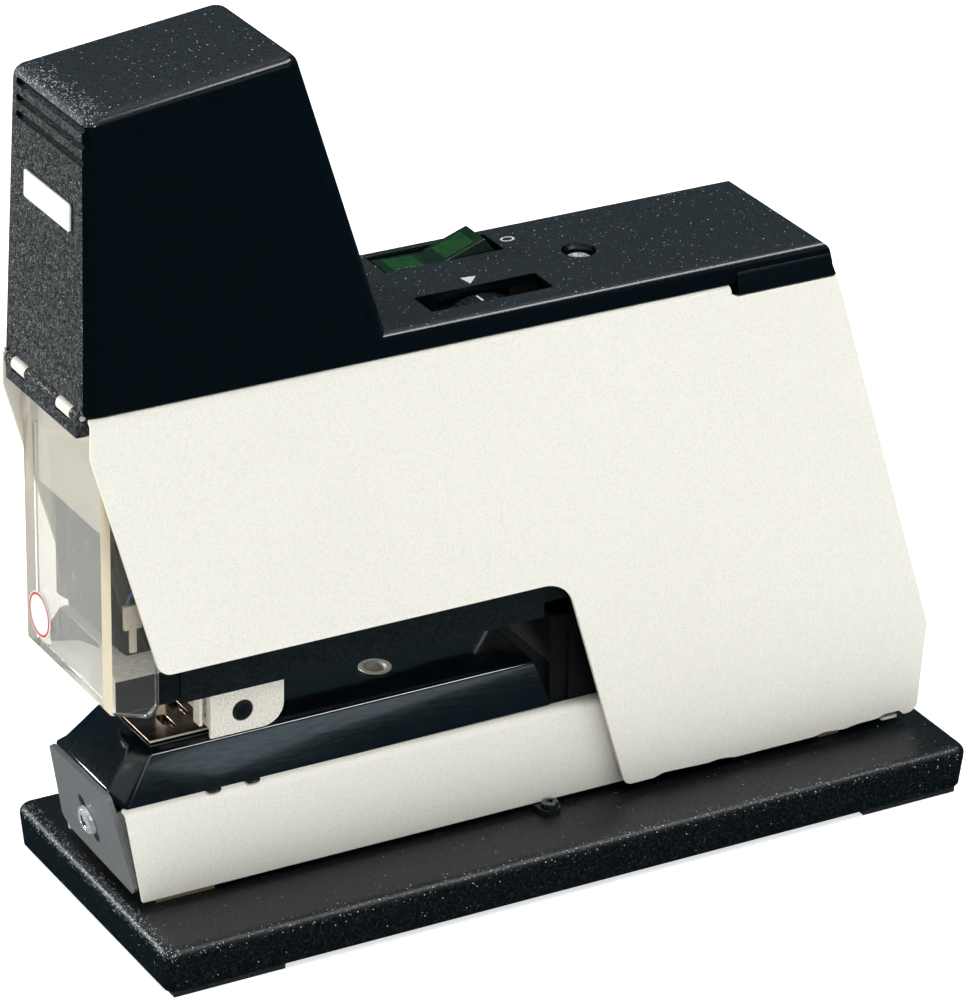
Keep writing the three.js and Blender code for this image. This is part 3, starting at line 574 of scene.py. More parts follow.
def wedge(lower, upper, side_radius, top_radius, segments=8):
    """A block between four lower and four upper corners, its upright edges and its top edges rounded."""
    bm = bmesh.new()
    a = [bm.verts.new(p) for p in lower]
    b = [bm.verts.new(p) for p in upper]
    bridge(bm, [a, b])
    if side_radius:
        upright = [e for e in bm.edges if (e.verts[0] in a) != (e.verts[1] in a)]
        round_edges(bm, upright, side_radius, segments)
    if top_radius:
        bm.normal_update()
        lid = max(bm.faces, key=lambda f: f.normal.z * f.calc_area())
        round_edges(bm, list(lid.edges), top_radius, segments)
    return bm


def round_edges(bm, edges, radius, segments):
    shape = {"profile": 0.5, "affect": "EDGES", "offset_type": "OFFSET", "clamp_overlap": True}
    bmesh.ops.bevel(bm, geom=edges, offset=radius, segments=segments, **shape)


def merged(*parts):
    bm = bmesh.new()
    for part in parts:
        mesh = bpy.data.meshes.new("part")
        part.to_mesh(mesh)
        part.free()
        bm.from_mesh(mesh)
        bpy.data.meshes.remove(mesh)
    return bm


def mesh_object(name, bm):
    """Mesh code in millimetres becomes an object in the frame's metres."""
    obj = plain_object(name, bm)
    obj.data.transform(Matrix.Scale(MM, 4) @ Matrix.Translation((0, FRONT_SHIFT, 0)))
    return obj


def evaluated_mesh(obj):
    graph = bpy.context.evaluated_depsgraph_get()
    graph.update()
    return bpy.data.meshes.new_from_object(obj.evaluated_get(graph))


def bake_modifiers(obj):
    made = evaluated_mesh(obj)
    obj.modifiers.clear()
    old = obj.data
    obj.data = made
    bpy.data.meshes.remove(old)
    made.name = obj.name


def boolean(obj, operation, tools):
    """Joins or cuts obj with each of the tool meshes, and removes the tools."""
    made = []
    for tool in tools:
        cutter = mesh_object("tool", tool)
        modifier = obj.modifiers.new("cut", "BOOLEAN")
        modifier.operation, modifier.solver, modifier.object = operation, "EXACT", cutter
        made.append(cutter)
    bake_modifiers(obj)
    for cutter in made:
        data = cutter.data
        bpy.data.objects.remove(cutter)
        bpy.data.meshes.remove(data)


def soften(obj, width, segments, angle):
    """Rounds the edges that turn by more than the angle, in degrees."""
    bevel = obj.modifiers.new("soft_edges", "BEVEL")
    bevel.width, bevel.segments = width * MM, segments
    bevel.limit_method, bevel.angle_limit = "ANGLE", math.radians(angle)
    bevel.harden_normals = True


def join(obj, tools):
    boolean(obj, "UNION", tools)


def carve(obj, tools):
    boolean(obj, "DIFFERENCE", tools)


def finish_piece(obj, body, material, slot, replaces=(), bevel=0.0, segments=3, angle=28.0, tidy=True):
    """Softens the sharp edges, shades it, gives it its finish and puts it on its body."""
    if tidy:
        bm = bmesh.new()
        bm.from_mesh(obj.data)
        bmesh.ops.remove_doubles(bm, verts=bm.verts, dist=WELD)
        bmesh.ops.dissolve_limit(bm, angle_limit=FLAT, verts=bm.verts, edges=bm.edges)
        bm.to_mesh(obj.data)
        bm.free()
    if bevel:
        soften(obj, bevel, segments, angle)
    shade(obj)
    if not obj.data.materials:
        obj.data.materials.append(material)
    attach(obj, body)
    if replaces:
        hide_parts(*replaces)
    return obj


def shade(obj):
    """Smooth shading, except across the sharp edges."""
    obj.data.polygons.foreach_set("use_smooth", [True] * len(obj.data.polygons))
    obj.data.set_sharp_from_angle(angle=SMOOTH)


def piece(name, bm, body, material, slot, replaces=(), cuts=(), **how):
    obj = mesh_object(name, bm)
    if cuts:
        carve(obj, cuts)
    return finish_piece(obj, body, material, slot, replaces, **how)


def paint_faces(obj, materials, choose):
    """Gives each face the material whose index choose(centre in millimetres, normal) returns."""
    obj.data.materials.clear()
    for material in materials:
        obj.data.materials.append(material)
    for face in obj.data.polygons:
        c = face.center / MM
        face.material_index = choose(Vector((c.x, c.y - FRONT_SHIFT, c.z)), face.normal)


def mirrored(bm):
    """The same mesh on the other side of the middle plane."""
    copy = bm.copy()
    bmesh.ops.scale(copy, vec=(-1, 1, 1), verts=copy.verts)
    bmesh.ops.reverse_faces(copy, faces=copy.faces)
    return copy


def dress(node, material, bevel):
    """A CAD node that is shown as it is: a finish, and its sharp edges softened."""
    obj = nodes[node]
    obj.data.materials.clear()
    obj.data.materials.append(material)
    flat = obj.modifiers.new("flat_faces", "DECIMATE")
    flat.decimate_type, flat.angle_limit = "DISSOLVE", math.radians(0.5)
    soften(obj, bevel, 2, 32)


# ---- Base ----


def stacked(rings):
    bm = bmesh.new()
    return bridge(bm, [[bm.verts.new(p) for p in ring] for ring in rings])


BASE_HALF, BASE_REACH = 41.0, 110.0  # half the base plate's width and length at its foot
BASE_SCREW = (23.0, 1.5)  # the right base screw's axis


def base_screw_hole(side, low, high):
    return prism("z", circle(side * BASE_SCREW[0], BASE_SCREW[1], 1.8, 24), low, high)


def make_base():
    """The casting's rings run from its foot to its top: growth over the foot, height, corner radius."""
    rings = []
    for grow, z, radius in (
        (-0.5, 1.85, 2.6),
        (0.0, 2.5, 3.0),
        (0.74, 10.2, 3.4),
        (0.8, 10.9, 3.5),
        (0.72, 11.6, 3.4),
        (0.45, 12.2, 3.2),
        (0.0, 12.75, 3.0),
        (-0.6, 13.1, 2.7),
        (-1.3, 13.25, 2.4),
        (-2.2, 13.3, 2.0),
    ):
        half, reach = BASE_HALF + grow, BASE_REACH + grow
        rings.append([(*p, z) for p in outline_of(box_corners(-half, half, -reach, reach, radius), 11)])
    screw_holes = [base_screw_hole(side, 6, 20) for side in (-1, 1)]
    body = stacked(rings)
    piece("base_casting", body, "frame", WRINKLE, "wrinkle_black", ["base_plate"], screw_holes, tidy=False)
    for end in ("front", "rear"):
        for side in ("right", "left"):
            dress(f"rubber_foot_{end}_{side}", RUBBER, 0.4)
    dress("front_spacer_pad", FIBRE, 0.3)
    pad = mesh_object("rear_pad", block((-17.5, 17.5), (58, 88), (13.35, 15.3)))
    join(pad, [block((-20.9, 20.9), (79.5, 85.5), (13.35, 15.3))])
    finish_piece(pad, "frame", FIBRE, "fibre_pad", ["rear_spacer_pad"], bevel=0.25)
    for side, name in ((1, "right"), (-1, "left")):
        axis = (side * BASE_SCREW[0], BASE_SCREW[1])
        head, node = f"base_screw_head_{name}", f"base_screw_{name}"
        # the base screws take the dark copy of zinc: painted shade
        make_screw(head, "z", axis, 16.4, 2.1, 1.5, 6.7, [node], "frame", material=SHADED_ZINC)


def cross_recess(axis, centre, top, size):
    """A pozidriv recess: a cross that narrows as it goes down."""
    cuts = []
    for turn in (0, 90):
        reach, width = size, size * 0.34
        a, b = (width, reach) if turn else (reach, width)
        quad = [(-a, -b), (a, -b), (a, b), (-a, b)]
        bm = bmesh.new()
        rings = []
        for c, share in ((top + 0.6, 1.05), (top - size * 0.9, 0.5)):
            spots = [(centre[0] + p[0] * share, centre[1] + p[1] * share) for p in quad]
            rings.append([bm.verts.new(along(axis, *spot, c)) for spot in spots])
        cuts.append(bridge(bm, rings))
    return cuts


def make_screw(name, axis, centre, top, head, shank, end, replaces, body, height=1.3, material=None):
    """A pan-head screw whose head's top is at top along axis."""
    profile = [(0, end), (shank, end), (shank, top - height), (head, top - height)]
    profile += [(head, top - height * 0.45), (head * 0.93, top - height * 0.18)]
    profile += [(head * 0.78, top - 0.03), (head * 0.7, top), (0, top)]
    bm = lathe(axis, centre, profile)
    obj = mesh_object(name, bm)
    carve(obj, cross_recess(axis, centre, top, head * 0.62))
    return finish_piece(obj, body, material or ZINC, "zinc", replaces, bevel=0.06, segments=2)


# ---- Lower arm ----


def arm_panel_mesh():
    section = outline_of(
        [(20.5, 15.0), (20.5, 39.5, 2.3), (17.2, 39.5), (17.2, 38.5), (19.5, 38.5, 1.3), (19.5, 15.0)], 12
    )
    bm = prism("y", section, -112, 24)
    slope = (37.5 - 15.0) / (-110.2 + 106.4)
    for v in bm.verts:
        if v.co.y < 0:
            v.co.y = -106.4 + (min(v.co.z, 37.5) - 15.0) / slope
    return bm


def arm_cover_mesh():
    """A folded hip: flat top, steep sides, a sloping front flap and a bevel across each front corner."""
    half = [
        (7.4, -102.5, 50.4),
        (14.2, -101.0, 50.4),
        (14.2, 1.0, 50.4),
        (18.2, 4.0, 39.9),
        (18.2, -109.3, 39.9),
        (14.4, -112.4, 43.0),
        (14.4, -111.0, 39.9),
    ]
    bm = bmesh.new()
    right = [bm.verts.new(p) for p in half]
    left = [bm.verts.new((-x, y, z)) for x, y, z in half]

    def face(*corners):
        bm.faces.new(corners)

    face(right[0], right[1], right[2], left[2], left[1], left[0])
    for s in (right, left):
        face(s[1], s[4], s[3], s[2])
        face(s[0], s[5], s[4], s[1])
        face(s[5], s[6], s[4])
    face(left[0], left[5], right[5], right[0])
    face(left[5], left[6], right[6], right[5])
    bmesh.ops.recalc_face_normals(bm, faces=bm.faces)
    sharp = [e for e in bm.edges if len(e.link_faces) == 2]
    round_edges(bm, sharp, 0.8, 5)
    return bm


EYELET_Y = -34.4


def make_arm():
    for side in ("right", "left"):
        bm = arm_panel_mesh()
        if side == "left":
            bm = merged(mirrored(bm))
        piece(f"arm_side_{side}", bm, "frame", CREAM, "cream_paint", [f"arm_panel_{side}"], bevel=0.28)
    cover = mesh_object("arm_hood", arm_cover_mesh())
    thick = cover.modifiers.new("sheet", "SOLIDIFY")
    thick.thickness, thick.offset = 1.1 * MM, -1
    bake_modifiers(cover)
    anvil_well = block((-8.4, 8.4), (-97.4, -83.8), (44, 60))
    carve(cover, [anvil_well, prism("z", circle(0, EYELET_Y, 3.3), 40, 60)])
    finish_piece(cover, "frame", ENAMEL, "gloss_enamel", ["arm_cover"], bevel=0.12, segments=2, angle=50)
    make_arm_channel()
    make_fold_tabs()
    make_end_plate()
    make_anvil()
    section = [(2.35, 47.5), (3.0, 47.5), (3.05, 50.4), (3.6, 50.5), (4.05, 50.62), (4.1, 50.78)]
    section += [(3.95, 50.95), (3.3, 51.0), (2.75, 50.9), (2.4, 50.5)]
    bm = ring_solid("z", (0, EYELET_Y), section)
    piece("lid_eyelet", bm, "frame", NICKEL, "nickel", ["cover_eyelet"], tidy=False)


def make_arm_channel():
    """The black channel inside the arm, with the two round-ended tabs that the base screws hold down."""
    section = [(-13.5, 15.4), (-12, 15.4), (-12, 44.4), (12, 44.4)]
    section += [(12, 15.4), (13.5, 15.4), (13.5, 45.9), (-13.5, 45.9)]
    channel = mesh_object("arm_channel", prism("y", section, -101, -2))
    parts, holes = [], []
    for side in (-1, 1):
        corners = [(12 * side, -3), (24.9 * side, -1.0, 1.9), (24.9 * side, 4.0, 1.9), (12 * side, 6)]
        tab = outline_of(corners[::side])
        parts += [prism("z", tab, 13.4, 14.8), block(sorted((12 * side, 13.5 * side)), (-3, -2), (13.4, 16))]
        holes.append(base_screw_hole(side, 10, 20))
    join(channel, parts)
    carve(channel, holes)
    finish_piece(channel, "frame", STEEL_BLACK, "black_steel", ["arm_frame"], bevel=0.2, segments=2)


def make_fold_tabs():
    """Two small black lugs of the hood that hook over the right panel's fold."""
    for name, y in (("front", -87.0), ("rear", -76.8)):
        outline = outline_of([(17.6, y - 1.9), (20.1, y - 1.9, 1.2), (20.1, y + 1.9, 1.2), (17.6, y + 1.9)])
        lug = prism("z", outline, 39.5, 39.95)
        piece(f"hood_lug_{name}", lug, "frame", ENAMEL, "gloss_enamel", bevel=0.15)


END_FOOT = Vector((0, -106.5, 17.2))
END_LEAN = Matrix.Rotation(math.radians(102.3), 4, "X")


def lean(bm):
    """Stands a mesh drawn flat in the end plate's own plane up at the arm's end."""
    bm.transform(Matrix.Translation(END_FOOT) @ END_LEAN)
    return bm


def make_end_plate():
    foot = [(-19.5, 3.2, 1), (-16.5, 0.8, 1), (17.2, -0.8, 1), (19.3, 1.8, 1)]
    outline = outline_of(foot + [(16.2, 26.4, 1.6), (-16.2, 25.2, 1.6)])
    slot = outline_of([(-4.9, 16.3, 1.6), (-1.9, 18.2, 1.6), (3.7, 7.0, 1.6), (0.7, 5.1, 1.6)])
    plate = mesh_object("end_plate_sheet", lean(prism("z", outline, 0, 1.2)))
    flange = [(18.0, 2.4), (19.2, 2.4), (16.8, 21.6), (15.6, 21.4)]
    other = [(-x, y) for x, y in reversed(flange)]
    join(plate, [lean(prism("z", flange, -5, 0.6)), lean(prism("z", other, -5, 0.6))])
    carve(plate, [lean(prism("z", slot, -2, 4))])
    finish_piece(plate, "frame", END_GREY, "satin_grey", ["end_plate"], bevel=0.28, segments=3)
    axis = (-0.7, 11.4)
    profile = [(0, -5.9), (1.4, -5.9), (1.4, 1.25), (3.7, 1.25), (3.7, 1.7), (3.4, 2.4), (2.6, 2.85)]
    screw = mesh_object("end_screw", lean(lathe("z", axis, profile + [(0, 2.95)])))
    carve(screw, [lean(cut) for cut in cross_recess("z", axis, 2.9, 2.2)])
    finish_piece(screw, "frame", ZINC, "zinc", ["end_plate_screw"], bevel=0.06, segments=2)


def make_anvil():
    top = 51.3
    plate = mesh_object("anvil_die", block((-10.2, 10.2), (-99.3, -83.2), (50.7, top)))
    join(plate, [block((-8, 8), (-97, -84.2), (46.4, 51.0))])
    cuts = []
    for x0, x1, y0, y1 in ((-0.6, 6.8, -92.8, -90.2), (-6.8, 2.2, -87.4, -84.8)):
        cuts.append(prism("z", outline_of(box_corners(x0, x1, y0, y1, 1.1)), 49.9, 54))
    carve(plate, cuts)
    finish_piece(plate, "frame", SHADED_ANVIL, "anvil_nickel", ["anvil_plate"], bevel=0.16, segments=3)
    # the top and front painted dark as painted shade, the outer side faces the bright nickel
    paint_faces(plate, [SHADED_ANVIL, NICKEL], lambda c, n: 1 if abs(n.x) > 0.8 and abs(c.x) > 9 else 0)


# ---- Body ----

SIDE = [
    (-119.2, 141.1), (-119.4, 133.6, 6), (-102.7, 75.4, 4), (4.4, 75.4, 8.5), (22.1, 15.9, 2.5),
    (30.2, 15.9, 1.5), (32.9, 16.7, 1.5), (45.6, 16.2, 1), (48.4, 16.5, 0.6), (51.4, 16.3, 0.6),
    (53.4, 15.9, 1), (76.2, 15.9, 1), (79.4, 16.5, 1), (85.0, 15.9, 1), (89.0, 16.4, 1),
    (94.8, 16.5, 1), (96.9, 17.2, 0.8), (101.2, 17.2, 0.8), (102.6, 15.9, 0.8), (106.4, 15.9, 3),
    (108.2, 40.4, 9), (76.9, 140.2, 1.5), (49.1, 140.2), (47.4, 141.1),
]


def side_panel_mesh():
    sheet = prism("x", outline_of(SIDE, 6), 23.0, 24.0)
    outer = [(24, 141.1), (24, 142.9, 1.75), (22.2, 142.9)]
    inner = [(22.2, 141.9), (23, 141.9, 0.75), (23, 141.1)]
    return sheet, prism("y", outline_of(outer + inner, 12), -119.2, 47.4)


def make_body():
    for side in ("right", "left"):
        sheet, fold = side_panel_mesh()
        if side == "left":
            sheet, fold = merged(mirrored(sheet)), merged(mirrored(fold))
        obj = mesh_object(f"body_side_{side}", sheet)
        join(obj, [fold])
        finish_piece(obj, "frame", CREAM, "cream_paint", [f"side_panel_{side}"], bevel=0.32, segments=3)
    make_front_plate()
    # the inner frames and the throat wall take SHADOW_BLACK: painted shade
    dress("inner_frame_right", SHADOW_BLACK, 0.2)
    dress("inner_frame_left", SHADOW_BLACK, 0.2)
    wall = mesh_object("throat_wall", block((-15.6, 15.6), (5.0, 6.0), (16, 62)))
    cheek = [(5.0, 16), (5.0, 62), (10.0, 62), (23.5, 16)]
    parts = [prism("x", cheek, 14.8, 15.6), prism("x", cheek, -15.6, -14.8)]
    parts.append(block((-13.2, 13.2), (1.2, 5.5), (36, 50.1)))
    join(wall, parts)
    finish_piece(wall, "frame", SHADOW_BLACK, "black_steel", bevel=0.2)
    tab = outline_of([(18.2, 96.6), (23.3, 96.6, 0.8), (23.3, 101.4, 0.8), (18.2, 101.4)])
    piece("panel_foot_tab", prism("z", tab, 15.0, 15.8), "frame", CREAM, "cream_paint", bevel=0.2)
    make_throat_wires()
    dress("rear_panel", STEEL_BLACK, 0.3)
    dress("hinge_pin", ZINC, 0.15)
    section = [(3.6, 99.4), (6.0, 99.4), (6.0, 105.9), (8.6, 105.9), (8.6, 106.9), (8.2, 107.5)]
    section += [(7.4, 107.8), (4.6, 107.8), (3.8, 107.5), (3.6, 107.0)]
    bushing = ring_solid("y", (0, 28), section)
    piece("cord_bushing", bushing, "frame", RUBBER, "foot_rubber", ["cord_gland"], tidy=False)
    make_head_housing()
    make_lug()


def make_throat_wires():
    """Four fine wires at the throat's back, each from one place (Y, Z) to another with a slight bow."""
    ends = (
        ((12.1, 42.5), (17.2, 37.2)),
        ((18.9, 42.7), (19.1, 40.4)),
        ((20.2, 42.5), (22.4, 40.6)),
        ((24.2, 44.1), (26.4, 37.4)),
    )
    for index, (start, end) in enumerate(ends):
        middle = ((start[0] + end[0]) / 2 + 0.15, (start[1] + end[1]) / 2)
        points = [(-15.45, *start), (-15.3, *middle), (-15.45, *end)]
        tube_piece(f"throat_wire_{index + 1}", points, 0.2, BARE_WIRE, "frame")


HINGE = (-119.0, 141.9)  # the guard's pin, in Y and Z
HINGE_TABS = (-12, 12)  # the middles, in X, of the two tabs that hold it


def hinge_rod(radius, low, high, sides=24):
    return prism("x", circle(*HINGE, radius, sides), low, high)


def make_front_plate():
    obj = mesh_object("front_shield", block((-18.1, 18.1), (-113.2, -112.2), (110, 143.7)))
    parts = [block(x, (-112.6, -104), (112, 143.7)) for x in ((17.1, 18.1), (-18.1, -17.1))]
    for x in HINGE_TABS:
        strip = block((x - 3.5, x + 3.5), (-119.0, -112.4), (142.9, 143.7))
        parts += [strip, hinge_rod(1.8, x - 3.5, x + 3.5, 32)]
    join(obj, parts)
    carve(obj, [hinge_rod(0.95, -30, 30)])
    finish_piece(obj, "frame", CREAM, "cream_paint", ["front_plate"], bevel=0.18, segments=2)


def make_head_housing():
    obj = mesh_object("head_shroud", wedge_box((-12, 14.8), (-109.5, -96), (80, 114), 0.8))
    join(obj, [block((-9.4, -3.6), (-110.0, -109.3), (84.6, 95.5))])
    carve(obj, [block((-10, 12.8), (-107.5, -90), (70, 120))])
    finish_piece(obj, "frame", PART_BLACK, "black_parts", ["head_housing"], bevel=0.2, segments=2)
    rivets = (("large", (-6.87, 88.9), 0.95, -110.0), ("small", (-0.31, 100.85), 0.4, -109.5))
    for name, centre, radius, face in rivets:
        dome = [(0, face - 0.35), (radius * 0.75, face - 0.28), (radius, face), (radius, face + 0.3)]
        rivet = lathe("y", centre, dome + [(0, face + 0.3)], 24)
        piece(f"head_rivet_{name}", rivet, "frame", ZINC, "zinc", tidy=False)


def wedge_box(x, y, z, radius):
    return wedge(box_corners(*x, *y, z[0]), box_corners(*x, *y, z[1]), radius, 0, segments=4)


def make_lug():
    """A crimped terminal on the right inner frame, with the start of its blue-sleeved lead."""
    dress("terminal_lug", NICKEL, 0.12)
    points = [(17.62, -107.9, 92.4), (17.7, -107.2, 94.3), (17.75, -105.4, 95.6)]
    points += [(17.75, -103.2, 95.4), (17.75, -100.6, 94.2), (17.75, -98, 92.6)]
    tube_piece("lug_lead", points, 0.42, BLUE, "frame")
    coil = []
    for k in range(22):
        turn = k * 1.05
        coil.append((17.72 + 0.3 * math.cos(turn), -106.4 + 0.084 * k, 90.6 + 0.9 * math.sin(turn)))
    tube_piece("lug_wire_turns", coil, 0.17, COPPER_WIRE, "frame")


def tube_piece(name, points, radius, material, body):
    """A round wire along points given in millimetres."""
    curve = bpy.data.curves.new(name, "CURVE")
    curve.dimensions = "3D"
    spline = curve.splines.new("BEZIER")
    spline.bezier_points.add(len(points) - 1)
    for knot, point in zip(spline.bezier_points, points):
        knot.co = place(*point)
        knot.handle_left_type = knot.handle_right_type = "AUTO"
    curve.bevel_depth, curve.bevel_resolution, curve.resolution_u = radius * MM, 3, 8
    curve.use_fill_caps = True
    made = curve_piece(name, curve, body, material)
    made.data.polygons.foreach_set("use_smooth", [True] * len(made.data.polygons))
    return made


def curve_piece(name, curve, body, material):
    """Turns a curve or a text into a mesh piece."""
    drawn = new_object(name, curve)
    mesh = evaluated_mesh(drawn)
    bpy.data.objects.remove(drawn)
    bpy.data.curves.remove(curve)
    made = new_object(name, mesh)
    mesh.materials.clear()
    mesh.materials.append(material)
    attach(made, body)
    return made


# ---- Top cover and controls ----


COVER_FOOT, COVER_HALF, COVER_LEAN = 143.2, 22.75, 0.0407  # its sides lean in this much per mm of height
TOWER_FOOT_Y, TOWER_RAKE = -119.8, 2.2 / 70.0  # the tower's front, and how far it leans back per mm
DECK_TOP = 148.8
DECK_SCREW = (0.0, 19.4)
ROCKER = (-13.7, -11.9)  # the middle of its cut-out in the deck
DIAL_Y = -12.7


def cover_half(z):
    """Half the cover's width at a height."""
    return COVER_HALF - COVER_LEAN * (z - COVER_FOOT)


def tower_front(z):
    return TOWER_FOOT_Y + TOWER_RAKE * (z - COVER_FOOT)


def tower_mesh(inset):
    foot = COVER_FOOT if not inset else 142.0

    def corner(sign, front, z):
        rear = -41.6 - inset - 19.4 / 63.6 * (z - COVER_FOOT)
        return (sign * (cover_half(z) - inset), tower_front(z) + inset if front else rear, z)

    top_front, top_rear = 213.2 - inset, 219.62 - inset
    around = ((-1, True), (1, True), (1, False), (-1, False))
    lower = [corner(sign, front, foot) for sign, front in around]
    upper = [corner(sign, front, top_front if front else top_rear) for sign, front in around]
    return wedge(lower, upper, max(3.4 - inset, 1.0), max(2.6 - inset, 0.8))


def deck_mesh(inset):
    foot = COVER_FOOT if not inset else 138.0
    top, rear = DECK_TOP - inset, 76.2 - inset
    low, high = cover_half(foot) - inset, cover_half(top) - inset
    lower = box_corners(-low, low, -80, rear, foot)
    upper = box_corners(-high, high, -80, rear - 1.4, top)
    return wedge(lower, upper, 0, 2.3 if not inset else 0.8)


def skirt_mesh(inset):
    foot = 140.55 if not inset else 138.0
    low, high, top = 24.0 - inset, 22.72 - inset, 146.2 - inset
    front, rear = 49.4 + inset, 76.55 - inset
    lower = box_corners(-low, low, front, rear, foot)
    upper = box_corners(-high, high, front, rear - 1.7, top)
    return wedge(lower, upper, 0, 1.0)


def window(x, y, half_x, half_y):
    """A slot through the deck, its corners slightly rounded."""
    corners = box_corners(x - half_x, x + half_x, y - half_y, y + half_y, 0.5)
    return prism("z", outline_of(corners), 140, 160)


def make_cover():
    cover = mesh_object("top_housing", tower_mesh(0))
    join(cover, [deck_mesh(0)])
    join(cover, [skirt_mesh(0)])
    hollow = mesh_object("hollow", tower_mesh(2.2))
    join(hollow, [deck_mesh(2.2)])
    join(hollow, [skirt_mesh(2.2)])
    cut = cover.modifiers.new("hollow", "BOOLEAN")
    cut.operation, cut.solver, cut.object = "DIFFERENCE", "EXACT", hollow
    bake_modifiers(cover)
    bpy.data.objects.remove(hollow)
    join(cover, [prism("z", circle(*DECK_SCREW, 5.4, 48), 143.4, 147.6)])
    cuts = [
        window(*ROCKER, 5.15, 15.9),
        window(11.7, DIAL_Y, 4.6, 16.15),
        prism("z", circle(*DECK_SCREW, 4.2, 64), 145, 160),
        prism("z", circle(*DECK_SCREW, 1.9, 32), 140, 160),
        block((-19.6, 19.6), (-125, -105), (140, 144.1)),
    ]
    for k in range(3):
        z = 210.6 - 3.9 * k
        slit = outline_of(box_corners(-15.5, 18.6, z - 0.9, z + 0.9, 0.85))
        cuts.append(prism("y", slit, -125, tower_front(z) + 0.9))
    cuts += [leather_groove(1), leather_groove(-1)]
    carve(cover, cuts)
    softening = {"bevel": 0.22, "segments": 2, "angle": 48}
    finish_piece(cover, "frame", SMOOTH_BLACK, "black_cover", ["top_cover"], **softening)
    paint_faces(cover, [SMOOTH_BLACK, SAND_BLACK, LEATHER_BLACK], cover_finish)


def leather_edge(z):
    """Half the width of the leather-grained panel down the tower's front."""
    return 18.64 + 0.0277 * (210.8 - z)


def leather_groove(side):
    """The fine groove down one side of the leather-grained panel, as a cutting tool."""
    bm = bmesh.new()
    rings = []
    for z in (143.9, 212.0):
        x, bottom = side * leather_edge(z), tower_front(z) + 0.55
        corners = ((x - 0.2, -125, z), (x + 0.2, -125, z), (x + 0.1, bottom, z), (x - 0.1, bottom, z))
        rings.append([bm.verts.new(p) for p in corners])
    return bridge(bm, rings)


def cover_finish(centre, normal):
    """0 smooth sides, 1 the sand-grained deck, tower top and its front edge, 2 the leather-grained panel."""
    if normal.z > 0.86 and centre.z > 147:
        return 1
    if normal.z > 0.2 and normal.y < -0.25 and centre.z > 208.5:
        return 1
    if normal.y < -0.8 and centre.y < tower_front(centre.z) + 0.3 and abs(centre.x) < leather_edge(centre.z):
        return 2
    return 0


def make_rocker():
    """The rocker's two halves meet at a crease; fine pale lines run round its windows."""
    x, y = ROCKER
    profile = [(-15.1, 145.2), (-15.0, 148.3), (-1.4, 147.9), (10.9, 152.2), (14.6, 147.2), (14.2, 145.0)]
    profile += [(9.6, 140.2), (5.2, 136.6), (0, 135.4), (-5.2, 136.6), (-9.6, 140.2)]
    points = [Vector((a + y, b)) for a, b in profile]
    obj = mesh_object("rocker_key", prism("x", points, x - 4.7, x + 4.7))
    finish_piece(obj, "rocker", GREEN, "green_lens", ["rocker_button"], bevel=0.3, segments=3)
    lamp = Nodes("green_window")
    colour = lamp.ramp(lamp.noise(500, 3), (0.3, (0.007, 0.042, 0.008)), (0.7, (0.015, 0.078, 0.014)))
    lamp.set(Base_Color=colour, Roughness=0.06, Coat_Weight=0.5)
    for name, a, b in (("front", (-12.6, 148.23), (-4.6, 147.99)), ("rear", (0.9, 148.7), (8.6, 151.4))):
        strip = [(a[0], a[1] - 0.5), (b[0], b[1] - 0.5), (b[0], b[1] + 0.04), (a[0], a[1] + 0.04)]
        bm = prism("x", [(p[0] + y, p[1]) for p in strip], x - 3.3, x + 3.3)
        piece(f"rocker_window_{name}", bm, "rocker", lamp.material, "green_lens", bevel=0.05, segments=2)
    make_switch_well()


def make_switch_well():
    obj = mesh_object("switch_well", block((-19.7, -7.7), (-28.8, 5.0), (128, 145.6)))
    carve(obj, [block((-18.8, -8.6), (-27.7, 3.9), (130, 160))])
    finish_piece(obj, "frame", PART_BLACK, "black_parts", ["switch_body"], bevel=0.25, segments=2)


def make_wheel():
    """The force dial: a knurled rim with bold digits, turning in its slot."""
    y, z, radius, low, high = DIAL_Y, 132.5, 14.75, 7.8, 14.8
    profile = [(0, low), (11.5, low), (12.0, low + 0.4), (radius - 0.5, low + 0.4), (radius, low + 0.9)]
    profile += [(radius, high - 0.9), (radius - 0.5, high - 0.4), (12.0, high - 0.4)]
    profile += [(11.5, high), (0, high)]
    obj = mesh_object("force_dial", lathe("x", (y, z), profile, 96))
    join(obj, [prism("x", circle(y, z, 3, 32), -3, low + 0.5)])
    finish_piece(obj, "wheel", PART_BLACK, "black_parts", ["thumbwheel"], bevel=0.1, segments=2, angle=40)
    ribs = []
    for k in range(60):
        turn = 2 * math.pi * k / 60
        if k % 12 in (0, 1, 11):
            continue
        arm = Matrix.Translation((0, y, z)) @ Matrix.Rotation(turn, 4, "X")
        rib = block((low + 1.0, high - 1.0), (-0.24, 0.24), (radius - 0.5, radius + 0.22))
        rib.transform(arm)
        ribs.append(rib)
    piece("dial_ribs", merged(*ribs), "wheel", PART_BLACK, "black_parts", bevel=0.08, segments=2, tidy=False)
    for digit, turn in (("2", 62), ("1", 3), ("3", 123), ("4", 183), ("5", 243), ("6", 303)):
        hub = Matrix.Translation(place(11.3, y, z)) @ Matrix.Rotation(math.radians(turn), 4, "X")
        rim = Matrix.Translation((0, 0, (radius + 0.02) * MM)) @ Matrix.Rotation(math.radians(90), 4, "Z")
        text_piece(f"dial_digit_{digit}", digit, 4.2, hub @ rim, "wheel", WHITE_INK)
    dress("force_potentiometer", STEEL, 0.3)


def text_piece(name, letters, size, matrix, body, material):
    """A small generic mark, as a thin raised print."""
    curve = bpy.data.curves.new(name, "FONT")
    curve.body, curve.size, curve.extrude = letters, size * MM, 0.05 * MM
    curve.align_x, curve.align_y = "CENTER", "CENTER"
    curve.offset = 0.00006
    curve_piece(name, curve, body, material).data.transform(matrix)


